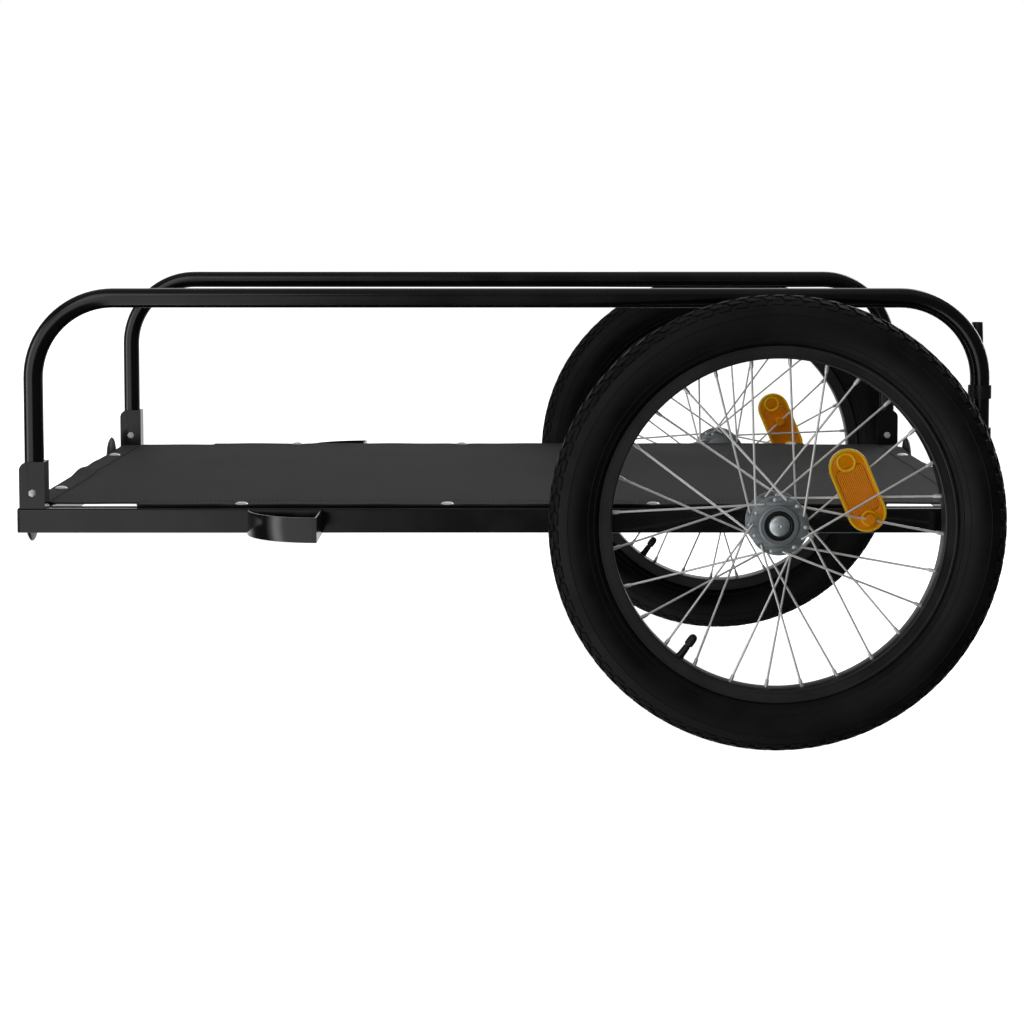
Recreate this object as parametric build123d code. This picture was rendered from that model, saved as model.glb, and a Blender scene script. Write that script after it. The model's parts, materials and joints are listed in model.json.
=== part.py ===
from build123d import *
from math import asin, atan2, cos, degrees, hypot, radians, sin
import os

# Two-wheeled bicycle cargo trailer, in millimetres.
# It is laid out level first: x = 0 is the middle of the frame with the front towards -X,
# y = 0 is the middle plane with the left side towards -Y, and z = 0 is the ground.
# It has no stand, so park() then leans the whole trailer nose down until its front touches the ground.

# Frame
frame_length = 872.0
rail_centre_y = 285.0          # from the middle plane to the middle of a side rail
rail_size = 22.0               # square tube, outside
rail_wall = 1.5
tube_corner = 2.4              # outside corner radius of the square tubes
rail_below_axle = 1.5          # middle of the rail under the middle of the axle
middle_crossbar_ahead = 330.0  # from the axle forward to the middle crossbar
end_plug_cap = 2.0
end_plug_depth = 12.0
end_plug_gap = 0.2

# Arched side rails and the folded brackets that hold them
arch_od = 17.5
arch_wall = 1.5
arch_height = 197.0            # from the top of the side rail to the top of the arch
arch_bend_radius = 72.0        # at the middle of the tube
bracket_length = 23.0
bracket_height = 42.0
bracket_sheet = 2.0
bracket_corner_radius = 8.0
bracket_gap = 0.25             # between the arch tube and the bracket around it
arch_bolt_height = 14.0        # above the side rail
arch_bolt_radius = 2.0
arch_bolt_head_radius = 3.8
arch_bolt_head_height = 2.2
arch_nut_height = 3.0
bolt_hole_gap = 0.15

# Deck sheet, riveted over the frame
deck_thickness = 1.5
deck_hem_thickness = 1.8
deck_hem_width = 24.0
deck_side_overlap = 5.0        # past the middle of the side rail
deck_end_inset = 3.0           # behind the outer face of the end crossbar
deck_notch_gap = 2.5           # around each bracket
deck_open_corner = 81.0        # stretch without a hem behind each bracket

# Wheel guards, one bent strip ahead of each wheel
guard_ahead = 403.9            # from the axle forward to the straight leg of the guard
guard_radius = 67.0
guard_strip = 1.8
guard_height = 22.0

# Reflectors on the end crossbars
reflector_radius = 27.0
reflector_cup_depth = 3.0
reflector_lens_radius = 25.0
reflector_lens_depth = 2.5
reflector_from_rail = 60.0     # from the middle of the side rail inward

# Flag holder, clipped to the rear left leg of the arch
holder_radius = 5.3
holder_tip_radius = 4.7
holder_tip_length = 16.0
holder_bore_radius = 3.5
holder_length = 122.0
holder_floor = 8.0
holder_above_bracket = 2.0
holder_clip_height = 12.0
holder_clip_wall = 1.6
holder_clip_gap = 0.1
holder_clip_inset = 22.0

# Wheels
axle_from_rear = 196.7         # from the rear end of the frame forward to the axle
tyre_od = 405.0
tyre_width = 47.0
tyre_wall = 3.2
tyre_rail_gap = 7.5
rim_width = 24.0
rim_wall = 1.5
rim_depth = 12.0
rim_base = 5.0
rim_lip_overlap = 3.0
tyre_rim_gap = 0.3
valve_radius = 4.0
valve_length = 25.0
valve_angle = -125.9           # seen from the left side, anticlockwise from the rear
valve_hole_gap = 0.2

# Hubs and axles
axle_radius = 6.0
axle_running_gap = 0.05
axle_collar_radius = 11.0
axle_collar_length = 4.0
axle_button_radius = 9.2
axle_button_length = 4.0
axle_nut_radius = 7.5
axle_nut_length = 6.0
hub_end_gap = 0.5
hub_length = 44.0
hub_flange_spacing = 36.0
hub_flange_radius = 26.5
hub_flange_thickness = 2.0
hub_barrel_radius = 14.0
hub_boss_radius = 18.0
hub_recess_radius = 13.2
hub_recess_depth = 2.5
seal_gap = 0.15
seal_thickness = 2.0

# Spokes: seven groups of four, laced to alternate flanges
spoke_groups = 7
spoke_radius = 1.0
spoke_phase = 22.0             # first rim hole, anticlockwise from the rear
spoke_hole_circle = 23.2
spoke_outer_lift = 1.3         # above the outer face of a flange
spoke_inner_lift = 0.15
spoke_head_radius = 1.8
spoke_head_height = 1.0
spoke_hole_gap = 0.12
spoke_rim_offset = 2.0         # rim holes to each side of the middle of the rim
nipple_radius = 1.75
nipple_length = 13.0
nipple_into_rim = 5.8
nipple_hole_gap = 0.2

# Spoke reflectors
disc_length = 77.0
disc_width = 36.0
disc_thickness = 8.0
disc_distance = 76.5           # from the axle
disc_angle = 22.9              # anticlockwise from the rear
disc_boss_radius = 5.0
disc_boss_cover = 2.5
disc_spoke_gap = 0.3

# Places that follow from the sizes above
axle_z = tyre_od / 2
axle_x = frame_length / 2 - axle_from_rear
rail_z = axle_z - rail_below_axle
rail_top = rail_z + rail_size / 2
rail_end = frame_length / 2
rail_inner_face = rail_centre_y - rail_size / 2
rail_outer_face = rail_centre_y + rail_size / 2
crossbar_x = rail_end - rail_size / 2
bracket_width = arch_od + 2 * (bracket_gap + bracket_sheet)
arch_leg_x = rail_end - bracket_length + bracket_sheet + bracket_gap + arch_od / 2
arch_top_z = rail_top + arch_height - arch_od / 2
side_face = rail_centre_y + max(rail_size, bracket_width) / 2
wheel_y = side_face + tyre_rail_gap + tyre_width / 2
hub_start_y = rail_outer_face + axle_collar_length + hub_end_gap
hub_centre_y = hub_start_y + hub_length / 2
tyre_inner_radius = tyre_od / 2 - tyre_width
rim_lip_radius = tyre_inner_radius + rim_lip_overlap
rim_inner_radius = rim_lip_radius - rim_depth
deck_bottom = rail_top + deck_hem_thickness
spoke_count = 4 * spoke_groups
spoke_pitch = 360.0 / spoke_count


def square_bar(size, corner, length):
    """A solid square bar along X with rounded corners."""
    return Rot(0, 90, 0) * extrude(RectangleRounded(size, size, corner), length / 2, both=True)


def square_tube(length):
    """A square tube along X, open at both ends."""
    bore = square_bar(rail_size - 2 * rail_wall, tube_corner - rail_wall, length + 1)
    return square_bar(rail_size, tube_corner, length) - bore


def round_bar(radius, start, end):
    """A solid round bar between two points."""
    line = Edge.make_line(start, end)
    plane = Plane(origin=start, z_dir=line @ 1 - line @ 0)
    return plane * Pos(0, 0, line.length / 2) * Cylinder(radius, line.length)


def cross_bar(radius, x, z, y_from, y_to):
    """A solid round bar along Y."""
    return Pos(x, (y_from + y_to) / 2, z) * Rot(90, 0, 0) * Cylinder(radius, abs(y_to - y_from))


def side_rail(side):
    """The long square tube of one side, with the holes for the axle and no others."""
    tube = Pos(0, side * rail_centre_y, rail_z) * square_tube(frame_length)
    hole = cross_bar(axle_radius + axle_running_gap, axle_x, axle_z,
                     side * (rail_inner_face - 1), side * (rail_outer_face + 1))
    return tube - hole


def crossbar(x):
    """A square tube between the two side rails."""
    return Pos(x, 0, rail_z) * Rot(0, 0, 90) * square_tube(2 * rail_inner_face)


def end_plugs():
    """The four plastic plugs in the ends of the side rails."""
    plugs = []
    inside = rail_size - 2 * rail_wall - 2 * end_plug_gap
    for end in (-1, 1):
        for side in (-1, 1):
            cap = square_bar(rail_size, tube_corner, end_plug_cap)
            cap = Pos(end * (rail_end + end_plug_cap / 2), 0, 0) * cap
            stem = square_bar(inside, tube_corner - rail_wall, end_plug_depth)
            stem = Pos(end * (rail_end - end_plug_depth / 2), 0, 0) * stem
            plugs.append(Pos(0, side * rail_centre_y, rail_z) * (cap + stem))
    return plugs


def arch_path(side):
    """Centre line of an arched side rail: up, over and down again."""
    y = side * rail_centre_y
    corners = [(-arch_leg_x, y, rail_top), (-arch_leg_x, y, arch_top_z),
               (arch_leg_x, y, arch_top_z), (arch_leg_x, y, rail_top)]
    return FilletPolyline(*corners, radius=arch_bend_radius)


def arch_bolt_holes(side):
    """The two bolt holes through the legs of one arch and its brackets."""
    reach = bracket_width
    z = rail_top + arch_bolt_height
    return [cross_bar(arch_bolt_radius + bolt_hole_gap, end * arch_leg_x, z,
                      side * rail_centre_y - reach, side * rail_centre_y + reach) for end in (-1, 1)]


def arch_rail(side):
    """One arched side rail, a bent round tube standing on the side rail."""
    path = arch_path(side)
    start = Plane(origin=path @ 0, z_dir=path % 0)
    ring = start * (Circle(arch_od / 2) - Circle(arch_od / 2 - arch_wall))
    return sweep(ring, path=path) - arch_bolt_holes(side)


def corner_bracket(end, side):
    """A folded U of sheet around the foot of an arch leg, open towards the end of the frame."""
    block = Box(bracket_length, bracket_width, bracket_height)
    rounded = block.edges().filter_by(Axis.Y).sort_by(Axis.Z)[-2:].sort_by(Axis.X)[0]
    block = fillet(rounded, bracket_corner_radius)
    inside = Box(bracket_length, bracket_width - 2 * bracket_sheet, bracket_height + 1)
    fold = block - Pos(-bracket_sheet, 0, 0) * inside
    if end > 0:
        fold = mirror(fold, about=Plane.YZ)
    x = end * (rail_end - bracket_length / 2)
    return Pos(x, side * rail_centre_y, rail_top + bracket_height / 2) * fold - arch_bolt_holes(side)


def arch_bolts():
    """The four bolts through the brackets, heads outside and nuts inside."""
    bolts = []
    z = rail_top + arch_bolt_height
    for end in (-1, 1):
        for side in (-1, 1):
            x = end * arch_leg_x
            outer = side * (rail_centre_y + bracket_width / 2)
            inner = side * (rail_centre_y - bracket_width / 2)
            shank = cross_bar(arch_bolt_radius, x, z, inner, outer)
            head = cross_bar(arch_bolt_head_radius, x, z, outer, outer + side * arch_bolt_head_height)
            nut = cross_bar(arch_bolt_head_radius, x, z, inner, inner - side * arch_nut_height)
            bolts.append(shank + head + nut)
    return bolts


def deck_outline():
    """The deck from above: a rectangle with a notch around each bracket."""
    length = 2 * (rail_end - deck_end_inset)
    width = 2 * (rail_centre_y + deck_side_overlap)
    sheet = Rectangle(length, width)
    notch_x = rail_end - bracket_length - deck_notch_gap
    notch_y = rail_centre_y - bracket_width / 2 - deck_notch_gap
    for end in (-1, 1):
        for side in (-1, 1):
            notch = Rectangle(rail_end - notch_x, width / 2 + 1 - notch_y)
            sheet -= Pos(end * (notch_x + rail_end) / 2, side * (notch_y + width / 2 + 1) / 2) * notch
    return sheet


def deck_sheet():
    """The deck, with a folded hem under its edges that rests on the frame."""
    outline = deck_outline()
    sheet = Pos(0, 0, deck_bottom) * extrude(outline, deck_thickness)
    inner_length = 2 * (rail_end - deck_end_inset - deck_hem_width)
    inner_width = 2 * (rail_centre_y + deck_side_overlap - deck_hem_width)
    hem = outline - Rectangle(inner_length, inner_width)
    corner_x = rail_end - bracket_length - deck_open_corner / 2
    for end in (-1, 1):
        for side in (-1, 1):
            open_corner = Rectangle(deck_open_corner, rail_size + deck_hem_width)
            hem -= Pos(end * corner_x, side * rail_centre_y) * open_corner
    return sheet + Pos(0, 0, rail_top) * extrude(hem, deck_hem_thickness)


def wheel_guard(side):
    """A bent strip ahead of the wheel: a quarter circle out from the rail and a straight leg back to it."""
    leg_x = axle_x - guard_ahead
    strip = Circle(guard_radius) - Circle(guard_radius - guard_strip)
    quarter = strip & Pos(-guard_radius / 2, guard_radius / 2) * Rectangle(guard_radius, guard_radius)
    leg_length = guard_radius - guard_strip / 2
    leg = Pos(-guard_strip / 2, leg_length / 2) * Rectangle(guard_strip, leg_length)
    guard = extrude(quarter + leg, guard_height)
    if side < 0:
        guard = mirror(guard, about=Plane.XZ)
    return Pos(leg_x, side * rail_outer_face, rail_z - guard_height / 2) * guard


def reflector_cups(end):
    """The two backing cups of one end's reflectors, flat against the crossbar."""
    x = end * (rail_end + reflector_cup_depth / 2)
    return [Pos(x, side * (rail_centre_y - reflector_from_rail), rail_z) * Rot(0, 90, 0)
            * Cylinder(reflector_radius, reflector_cup_depth) for side in (-1, 1)]


def reflector_lenses(end):
    """The two lenses of one end's reflectors, slightly domed."""
    lenses = []
    for side in (-1, 1):
        lens = Cylinder(reflector_lens_radius, reflector_lens_depth)
        lens = fillet(lens.edges().sort_by(Axis.Z)[-1], reflector_lens_depth * 0.6)
        x = end * (rail_end + reflector_cup_depth + reflector_lens_depth / 2)
        y = side * (rail_centre_y - reflector_from_rail)
        lenses.append(Pos(x, y, rail_z) * Rot(0, end * 90, 0) * lens)
    return lenses


def flag_holder():
    """A blind tube for a flag pole, beside the rear left leg of the arch, with two clips around the leg."""
    bottom = rail_top + bracket_height + holder_above_bracket
    body_length = holder_length - holder_tip_length
    body = Pos(0, 0, body_length / 2) * Cylinder(holder_radius, body_length)
    tip = Cone(holder_radius, holder_tip_radius, holder_tip_length)
    tip = Pos(0, 0, body_length + holder_tip_length / 2) * tip
    away = arch_od / 2 + holder_clip_gap + holder_clip_wall + holder_radius - 1.0
    holder = Pos(0, away, 0) * (body + tip)
    straight_end = arch_top_z - arch_bend_radius - bottom
    clip_radius = arch_od / 2 + holder_clip_gap + holder_clip_wall
    for z in (holder_clip_inset, straight_end - holder_clip_height):
        holder += Pos(0, 0, z) * Cylinder(clip_radius, holder_clip_height)
    holder -= Pos(0, 0, holder_length / 2) * Cylinder(arch_od / 2 + holder_clip_gap, holder_length + 2)
    bore_length = holder_length - holder_floor
    bore = Cylinder(holder_bore_radius, bore_length + 1)
    holder -= Pos(0, away, holder_floor + bore_length / 2 + 0.5) * bore
    return Pos(arch_leg_x, -rail_centre_y, bottom) * holder


def axle(side):
    """A fixed stub axle: button, shaft, the collar that meets the side rail, and the nut behind it."""
    outer_end = hub_start_y + hub_length - hub_recess_depth + seal_thickness + hub_end_gap
    shaft = cross_bar(axle_radius, axle_x, axle_z, side * rail_inner_face, side * outer_end)
    collar = cross_bar(axle_collar_radius, axle_x, axle_z,
                       side * rail_outer_face, side * (rail_outer_face + axle_collar_length))
    nut = cross_bar(axle_nut_radius, axle_x, axle_z,
                    side * rail_inner_face, side * (rail_inner_face - axle_nut_length))
    button = cross_bar(axle_button_radius, axle_x, axle_z,
                       side * outer_end, side * (outer_end + axle_button_length))
    rounded = button.edges().filter_by(GeomType.CIRCLE).sort_by(Axis.Y)[-1 if side > 0 else 0]
    return shaft + collar + nut + fillet(rounded, axle_button_length * 0.45)


def revolved(section, side):
    """A section drawn with its radius along X and its width along Y, turned around the wheel's own axle."""
    ring = revolve(section, axis=Axis.Y)
    if side < 0:
        ring = mirror(ring, about=Plane.XZ)
    return ring


def wheel_place(side):
    """Middle of the wheel on its axle."""
    return Pos(axle_x, side * wheel_y, axle_z)


def tyre(side):
    """The tyre: a hollow ring, open towards the rim that it sits in."""
    radius = tyre_width / 2
    middle = tyre_od / 2 - radius
    section = Pos(middle, 0) * (Circle(radius) - Circle(radius - tyre_wall))
    section -= Pos(tyre_inner_radius, 0) * Rectangle(2 * rim_lip_overlap + 2 * tyre_wall, rim_width / 2)
    wall = rim_wall + 2 * tyre_rim_gap
    lip = rim_lip_radius + tyre_rim_gap
    for edge in (-1, 1):
        offset = edge * (rim_width / 2 - rim_wall / 2)
        section -= Pos(lip - rim_depth / 2, offset) * Rectangle(rim_depth, wall)
    return wheel_place(side) * revolved(section, side)


def spoke_ends(number):
    """Hub and rim ends of one spoke's centre line, from the middle of the wheel, on the left wheel."""
    kind = number % 4
    near_flange = kind in (0, 2)
    turn = -1 if kind in (0, 3) else 1
    rim_angle = radians(spoke_phase - number * spoke_pitch)
    hub_angle = rim_angle + turn * radians(4 * spoke_pitch)
    lift = spoke_outer_lift if turn < 0 else spoke_inner_lift
    out = (1 if turn < 0 else -1) * (hub_flange_thickness / 2 + spoke_radius + lift)
    hub_offset = hub_centre_y - wheel_y
    flange_y = hub_offset + (1 if near_flange else -1) * hub_flange_spacing / 2
    y_hub = flange_y + (out if near_flange else -out)
    y_rim = spoke_rim_offset if near_flange else -spoke_rim_offset
    rim_radius = rim_inner_radius + nipple_into_rim
    hub_end = Vector(spoke_hole_circle * cos(hub_angle), -y_hub, spoke_hole_circle * sin(hub_angle))
    rim_end = Vector(rim_radius * cos(rim_angle), -y_rim, rim_radius * sin(rim_angle))
    return hub_end, rim_end, -flange_y


def one_spoke(number):
    """A spoke with its elbow and head through the hub flange and its nipple at the rim."""
    hub_end, rim_end, flange_y = spoke_ends(number)
    wire = round_bar(spoke_radius, hub_end, rim_end)
    along = (rim_end - hub_end).normalized()
    nipple = round_bar(nipple_radius, rim_end - along * nipple_length, rim_end)
    other_side = 1 if flange_y > hub_end.Y else -1
    face = flange_y + other_side * (hub_flange_thickness / 2 + spoke_inner_lift)
    elbow = cross_bar(spoke_radius, hub_end.X, hub_end.Z, hub_end.Y, face)
    head_end = face + other_side * spoke_head_height
    head = cross_bar(spoke_head_radius, hub_end.X, hub_end.Z, face, head_end)
    bend = Pos(hub_end) * Sphere(spoke_radius)
    return wire + nipple + elbow + head + bend


def mirrored(shape, side):
    """The left wheel's piece, mirrored for the right wheel."""
    return shape if side < 0 else mirror(shape, about=Plane.XZ)


def spokes(side):
    """All spokes of one wheel, as solids that don't touch."""
    return [wheel_place(side) * mirrored(one_spoke(number), side) for number in range(spoke_count)]


def rim(side):
    """The rim: a channel with holes for the nipples and the valve."""
    channel_depth = rim_depth - rim_base
    section = Pos(rim_lip_radius - rim_depth / 2, 0) * Rectangle(rim_depth, rim_width)
    section -= Pos(rim_lip_radius - channel_depth / 2, 0) * Rectangle(channel_depth, rim_width - 2 * rim_wall)
    ring = revolved(section, -1)
    cutters = []
    for number in range(spoke_count):
        hub_end, rim_end, _ = spoke_ends(number)
        along = (rim_end - hub_end).normalized()
        start = rim_end - along * nipple_length
        cutters.append(round_bar(nipple_radius + nipple_hole_gap, start, rim_end + along))
    valve_hole = valve_radius + valve_hole_gap
    cutters.append(valve_bar(valve_hole, rim_inner_radius - 2, rim_inner_radius + rim_base + 1))
    return wheel_place(side) * mirrored(ring - cutters, side)


def valve_bar(radius, low, high):
    """A round bar along the valve's radius."""
    toward = Vector(cos(radians(valve_angle)), 0, sin(radians(valve_angle)))
    return round_bar(radius, toward * low, toward * high)


def valve_stem(side):
    """The valve, through the rim towards the hub, with a rounded cap."""
    start = rim_inner_radius - (valve_length - rim_base)
    stem = valve_bar(valve_radius, start, rim_inner_radius + rim_base + 1)
    angle = radians(valve_angle)
    stem += Pos(start * cos(angle), 0, start * sin(angle)) * Sphere(valve_radius)
    return wheel_place(side) * mirrored(stem, side)


def hub(side):
    """The hub shell with its two drilled flanges and the recess for its seal."""
    half = hub_length / 2
    shell = Cylinder(hub_barrel_radius, hub_length)
    for end in (-1, 1):
        flange_at = end * hub_flange_spacing / 2
        shell += Pos(0, 0, flange_at) * Cylinder(hub_flange_radius, hub_flange_thickness)
        boss_length = half - hub_flange_spacing / 2
        shell += Pos(0, 0, flange_at + end * boss_length / 2) * Cylinder(hub_boss_radius, boss_length)
    shell -= Cylinder(axle_radius + axle_running_gap, hub_length + 1)
    shell -= Pos(0, 0, half - hub_recess_depth / 2) * Cylinder(hub_recess_radius, hub_recess_depth)
    shell = Rot(90, 0, 0) * shell
    shell = Pos(0, wheel_y - hub_centre_y, 0) * shell
    holes = []
    for number in range(spoke_count):
        hub_end, _, flange_y = spoke_ends(number)
        reach = hub_flange_thickness
        hole_radius = spoke_radius + spoke_hole_gap
        holes.append(cross_bar(hole_radius, hub_end.X, hub_end.Z, flange_y - reach, flange_y + reach))
    return wheel_place(side) * mirrored(shell - holes, side)


def hub_seal(side):
    """The seal ring in the hub's outer recess, around the axle's shaft."""
    ring = Cylinder(hub_recess_radius - seal_gap, seal_thickness)
    ring -= Cylinder(axle_radius + axle_running_gap, seal_thickness + 1)
    y = hub_start_y + hub_length - hub_recess_depth + seal_thickness / 2
    return Pos(axle_x, side * y, axle_z) * Rot(90, 0, 0) * ring


def spoke_reflector(side):
    """The oval reflector between the spokes, with a boss around each of the two spokes that carry it."""
    body = extrude(SlotOverall(disc_length, disc_width), disc_thickness / 2, both=True)
    body = fillet(body.edges(), disc_thickness * 0.2)
    angle = radians(disc_angle)
    body = Rot(0, 90 - disc_angle, 0) * Rot(90, 0, 0) * body
    body = Pos(disc_distance * cos(angle), 0, disc_distance * sin(angle)) * body
    cutters = []
    toward = Vector(cos(angle), 0, sin(angle))
    for number in (2, spoke_count - 1):
        hub_end, rim_end, _ = spoke_ends(number)
        along = rim_end - hub_end
        share = (disc_distance - hub_end.dot(toward)) / along.dot(toward)
        spot = hub_end + along * share
        cover = spot.Y + (disc_boss_cover if spot.Y > 0 else -disc_boss_cover)
        body += cross_bar(disc_boss_radius, spot.X, spot.Z, cover, 0)
        cutters.append(round_bar(spoke_radius + disc_spoke_gap, hub_end, rim_end))
    return wheel_place(side) * mirrored(body - cutters, side)


def nose_drop(ahead, below):
    """Angle, in degrees, at which a point this far ahead of and below the axle reaches the ground."""
    return degrees(asin(axle_z / hypot(ahead, below)) - atan2(below, ahead))


def level_pieces():
    """Every piece by its name, with the trailer level."""
    pieces = {}
    for side, word in ((-1, "left"), (1, "right")):
        pieces[f"{word}_side_rail"] = side_rail(side)
        pieces[f"{word}_arch_rail"] = arch_rail(side)
        pieces[f"front_{word}_bracket"] = corner_bracket(-1, side)
        pieces[f"rear_{word}_bracket"] = corner_bracket(1, side)
        pieces[f"{word}_wheel_guard"] = wheel_guard(side)
        pieces[f"{word}_axle"] = axle(side)
        pieces[f"{word}_tyre"] = tyre(side)
        pieces[f"{word}_rim"] = rim(side)
        pieces[f"{word}_spokes"] = spokes(side)
        pieces[f"{word}_hub"] = hub(side)
        pieces[f"{word}_hub_seal"] = hub_seal(side)
        pieces[f"{word}_valve_stem"] = valve_stem(side)
        pieces[f"{word}_spoke_reflector"] = spoke_reflector(side)
    pieces["front_crossbar"] = crossbar(-crossbar_x)
    pieces["middle_crossbar"] = crossbar(axle_x - middle_crossbar_ahead)
    pieces["axle_crossbar"] = crossbar(axle_x)
    pieces["rear_crossbar"] = crossbar(crossbar_x)
    pieces["rail_end_plugs"] = end_plugs()
    pieces["arch_bolts"] = arch_bolts()
    pieces["deck_sheet"] = deck_sheet()
    pieces["flag_holder"] = flag_holder()
    for end, word in ((-1, "front"), (1, "rear")):
        pieces[f"{word}_reflector_cups"] = reflector_cups(end)
        pieces[f"{word}_reflector_lenses"] = reflector_lenses(end)
    return pieces


def park(pieces):
    """Lean the trailer on its front end, then set the middle of its footprint at the origin."""
    reflector_touch = nose_drop(axle_x + rail_end + reflector_cup_depth, axle_z - rail_z + reflector_radius)
    plug_touch = nose_drop(axle_x + rail_end + end_plug_cap, axle_z - rail_z + rail_size / 2)
    drop = min(reflector_touch, plug_touch)
    turn = Pos(axle_x, 0, axle_z) * Rot(0, -drop, 0) * Pos(-axle_x, 0, -axle_z)
    turned = {}
    for name, shape in pieces.items():
        solids = shape if isinstance(shape, list) else [shape]
        turned[name] = [turn * solid for solid in solids]
    box = Compound([solid for solids in turned.values() for solid in solids]).bounding_box()
    shift = Pos(-box.center().X, -box.center().Y, -box.min.Z)
    print(f"nose drop {drop:.4f} degrees, axle at x {axle_x - box.center().X:.4f}")
    print(f"box {box.size.X:.2f} x {box.size.Y:.2f} x {box.size.Z:.2f}, shift {-box.center().X:.4f}")
    return {name: [shift * solid for solid in solids] for name, solids in turned.items()}


os.makedirs("parts", exist_ok=True)
for name, solids in park(level_pieces()).items():
    export_step(solids[0] if len(solids) == 1 else Compound(solids), f"parts/{name}.step")
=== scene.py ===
import json
from math import atan2, cos, pi, radians, sin, sqrt, tau

import bmesh
import bpy
from bpy.props import FloatProperty, FloatVectorProperty, IntProperty, PointerProperty
from mathutils import Matrix, Vector


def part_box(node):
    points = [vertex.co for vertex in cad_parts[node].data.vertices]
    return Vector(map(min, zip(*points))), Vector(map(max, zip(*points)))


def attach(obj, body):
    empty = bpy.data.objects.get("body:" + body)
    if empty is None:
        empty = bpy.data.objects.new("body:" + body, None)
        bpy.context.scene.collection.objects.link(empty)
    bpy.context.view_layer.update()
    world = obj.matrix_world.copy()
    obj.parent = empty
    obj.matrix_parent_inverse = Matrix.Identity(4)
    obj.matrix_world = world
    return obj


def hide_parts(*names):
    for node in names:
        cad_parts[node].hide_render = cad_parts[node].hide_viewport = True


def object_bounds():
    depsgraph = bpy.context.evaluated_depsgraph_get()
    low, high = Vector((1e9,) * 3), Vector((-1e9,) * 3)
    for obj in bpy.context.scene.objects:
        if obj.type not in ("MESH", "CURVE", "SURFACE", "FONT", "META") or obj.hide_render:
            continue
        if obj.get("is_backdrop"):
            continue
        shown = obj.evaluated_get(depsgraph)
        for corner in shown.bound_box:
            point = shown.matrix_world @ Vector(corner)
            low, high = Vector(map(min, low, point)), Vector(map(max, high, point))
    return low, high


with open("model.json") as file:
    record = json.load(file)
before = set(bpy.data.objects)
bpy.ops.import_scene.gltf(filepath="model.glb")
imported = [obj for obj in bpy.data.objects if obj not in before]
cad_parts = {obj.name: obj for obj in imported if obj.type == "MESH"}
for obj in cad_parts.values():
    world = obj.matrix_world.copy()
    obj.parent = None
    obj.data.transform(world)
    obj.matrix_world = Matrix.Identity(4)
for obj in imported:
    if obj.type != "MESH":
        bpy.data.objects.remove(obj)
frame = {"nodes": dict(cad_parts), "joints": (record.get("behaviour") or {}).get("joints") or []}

bl_info = {
    "name": "Bicycle cargo trailer",
    "version": (1, 0, 0),
    "blender": (4, 5, 0),
    "location": "3D View > Sidebar > Trailer",
    "description": "Builds the finished pieces of a two-wheeled bicycle cargo trailer around its frame",
    "category": "Object",
}

# All sizes are in metres. The trailer leans nose down, so every piece is made level and is then leaned:
# level x runs from front to rear, level y from left to right, and level z up from the middle of the rails.


def middle(node):
    """Middle of a CAD node's box."""
    low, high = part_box(node)
    return (low + high) / 2


FRONT_BAR = middle("front_crossbar")
REAR_BAR = middle("rear_crossbar")
LEAN = atan2(REAR_BAR.z - FRONT_BAR.z, REAR_BAR.x - FRONT_BAR.x)
LEVEL = Matrix.Translation((FRONT_BAR + REAR_BAR) / 2) @ Matrix.Rotation(-LEAN, 4, "Y")
SIDES = (("left", -1), ("right", 1))
ENDS = (("front", -1), ("rear", 1))


def level_box(node):
    """Lowest and highest corner of a CAD node in the trailer's level frame."""
    turn = LEVEL.inverted()
    places = [turn @ v.co for v in frame["nodes"][node].data.vertices]
    low = Vector([min(p[i] for p in places) for i in range(3)])
    high = Vector([max(p[i] for p in places) for i in range(3)])
    return low, high


RAIL_LOW, RAIL_HIGH = level_box("left_side_rail")
TUBE = RAIL_HIGH.z - RAIL_LOW.z
RAIL_END = RAIL_HIGH.x
RAIL_Y = -(RAIL_LOW.y + RAIL_HIGH.y) / 2
RAIL_TOP = RAIL_HIGH.z
TYRE_LOW, TYRE_HIGH = level_box("left_tyre")
SPIN = next(joint for joint in frame["joints"] if joint["name"] == "left_wheel_spin")
AXLE_X, WHEEL_Y, AXLE_Z = LEVEL.inverted() @ Vector(SPIN["pos_m"])
WHEEL_Y = abs(WHEEL_Y)
TYRE_RADIUS = (TYRE_HIGH.z - TYRE_LOW.z) / 2
TYRE_WIDTH = TYRE_HIGH.y - TYRE_LOW.y
RIM_LOW, RIM_HIGH = level_box("left_rim")
RIM_RADIUS = (RIM_HIGH.z - RIM_LOW.z) / 2
RIM_WIDTH = RIM_HIGH.y - RIM_LOW.y
HUB_LOW, HUB_HIGH = level_box("left_hub")
HUB_MIDDLE = (HUB_LOW.y + HUB_HIGH.y) / 2 + WHEEL_Y
HUB_LENGTH = HUB_HIGH.y - HUB_LOW.y
FLANGE_RADIUS = (HUB_HIGH.z - HUB_LOW.z) / 2
DECK_HIGH = level_box("deck_sheet")[1]
ARCH_LOW, ARCH_HIGH = level_box("left_arch_rail")
ARCH_TUBE = ARCH_HIGH.y - ARCH_LOW.y
BRACKET_LOW, BRACKET_HIGH = level_box("front_left_bracket")
BRACKET_LENGTH = BRACKET_HIGH.x - BRACKET_LOW.x
BRACKET_WIDTH = BRACKET_HIGH.y - BRACKET_LOW.y
CROSSBARS = ("front_crossbar", "middle_crossbar", "axle_crossbar", "rear_crossbar")
RIM_BED = RIM_RADIUS - 0.012
NOTCH_GAP = 0.0025       # between the deck cloth and a bracket
OPEN_CORNER = 0.081      # stretch of cloth behind a bracket that isn't held down
MERGE = 1e-7             # vertices nearer than this are one


def level_x(node):
    """Where a crossbar's middle stands along the level frame."""
    return (LEVEL.inverted() @ middle(node)).x


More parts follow.
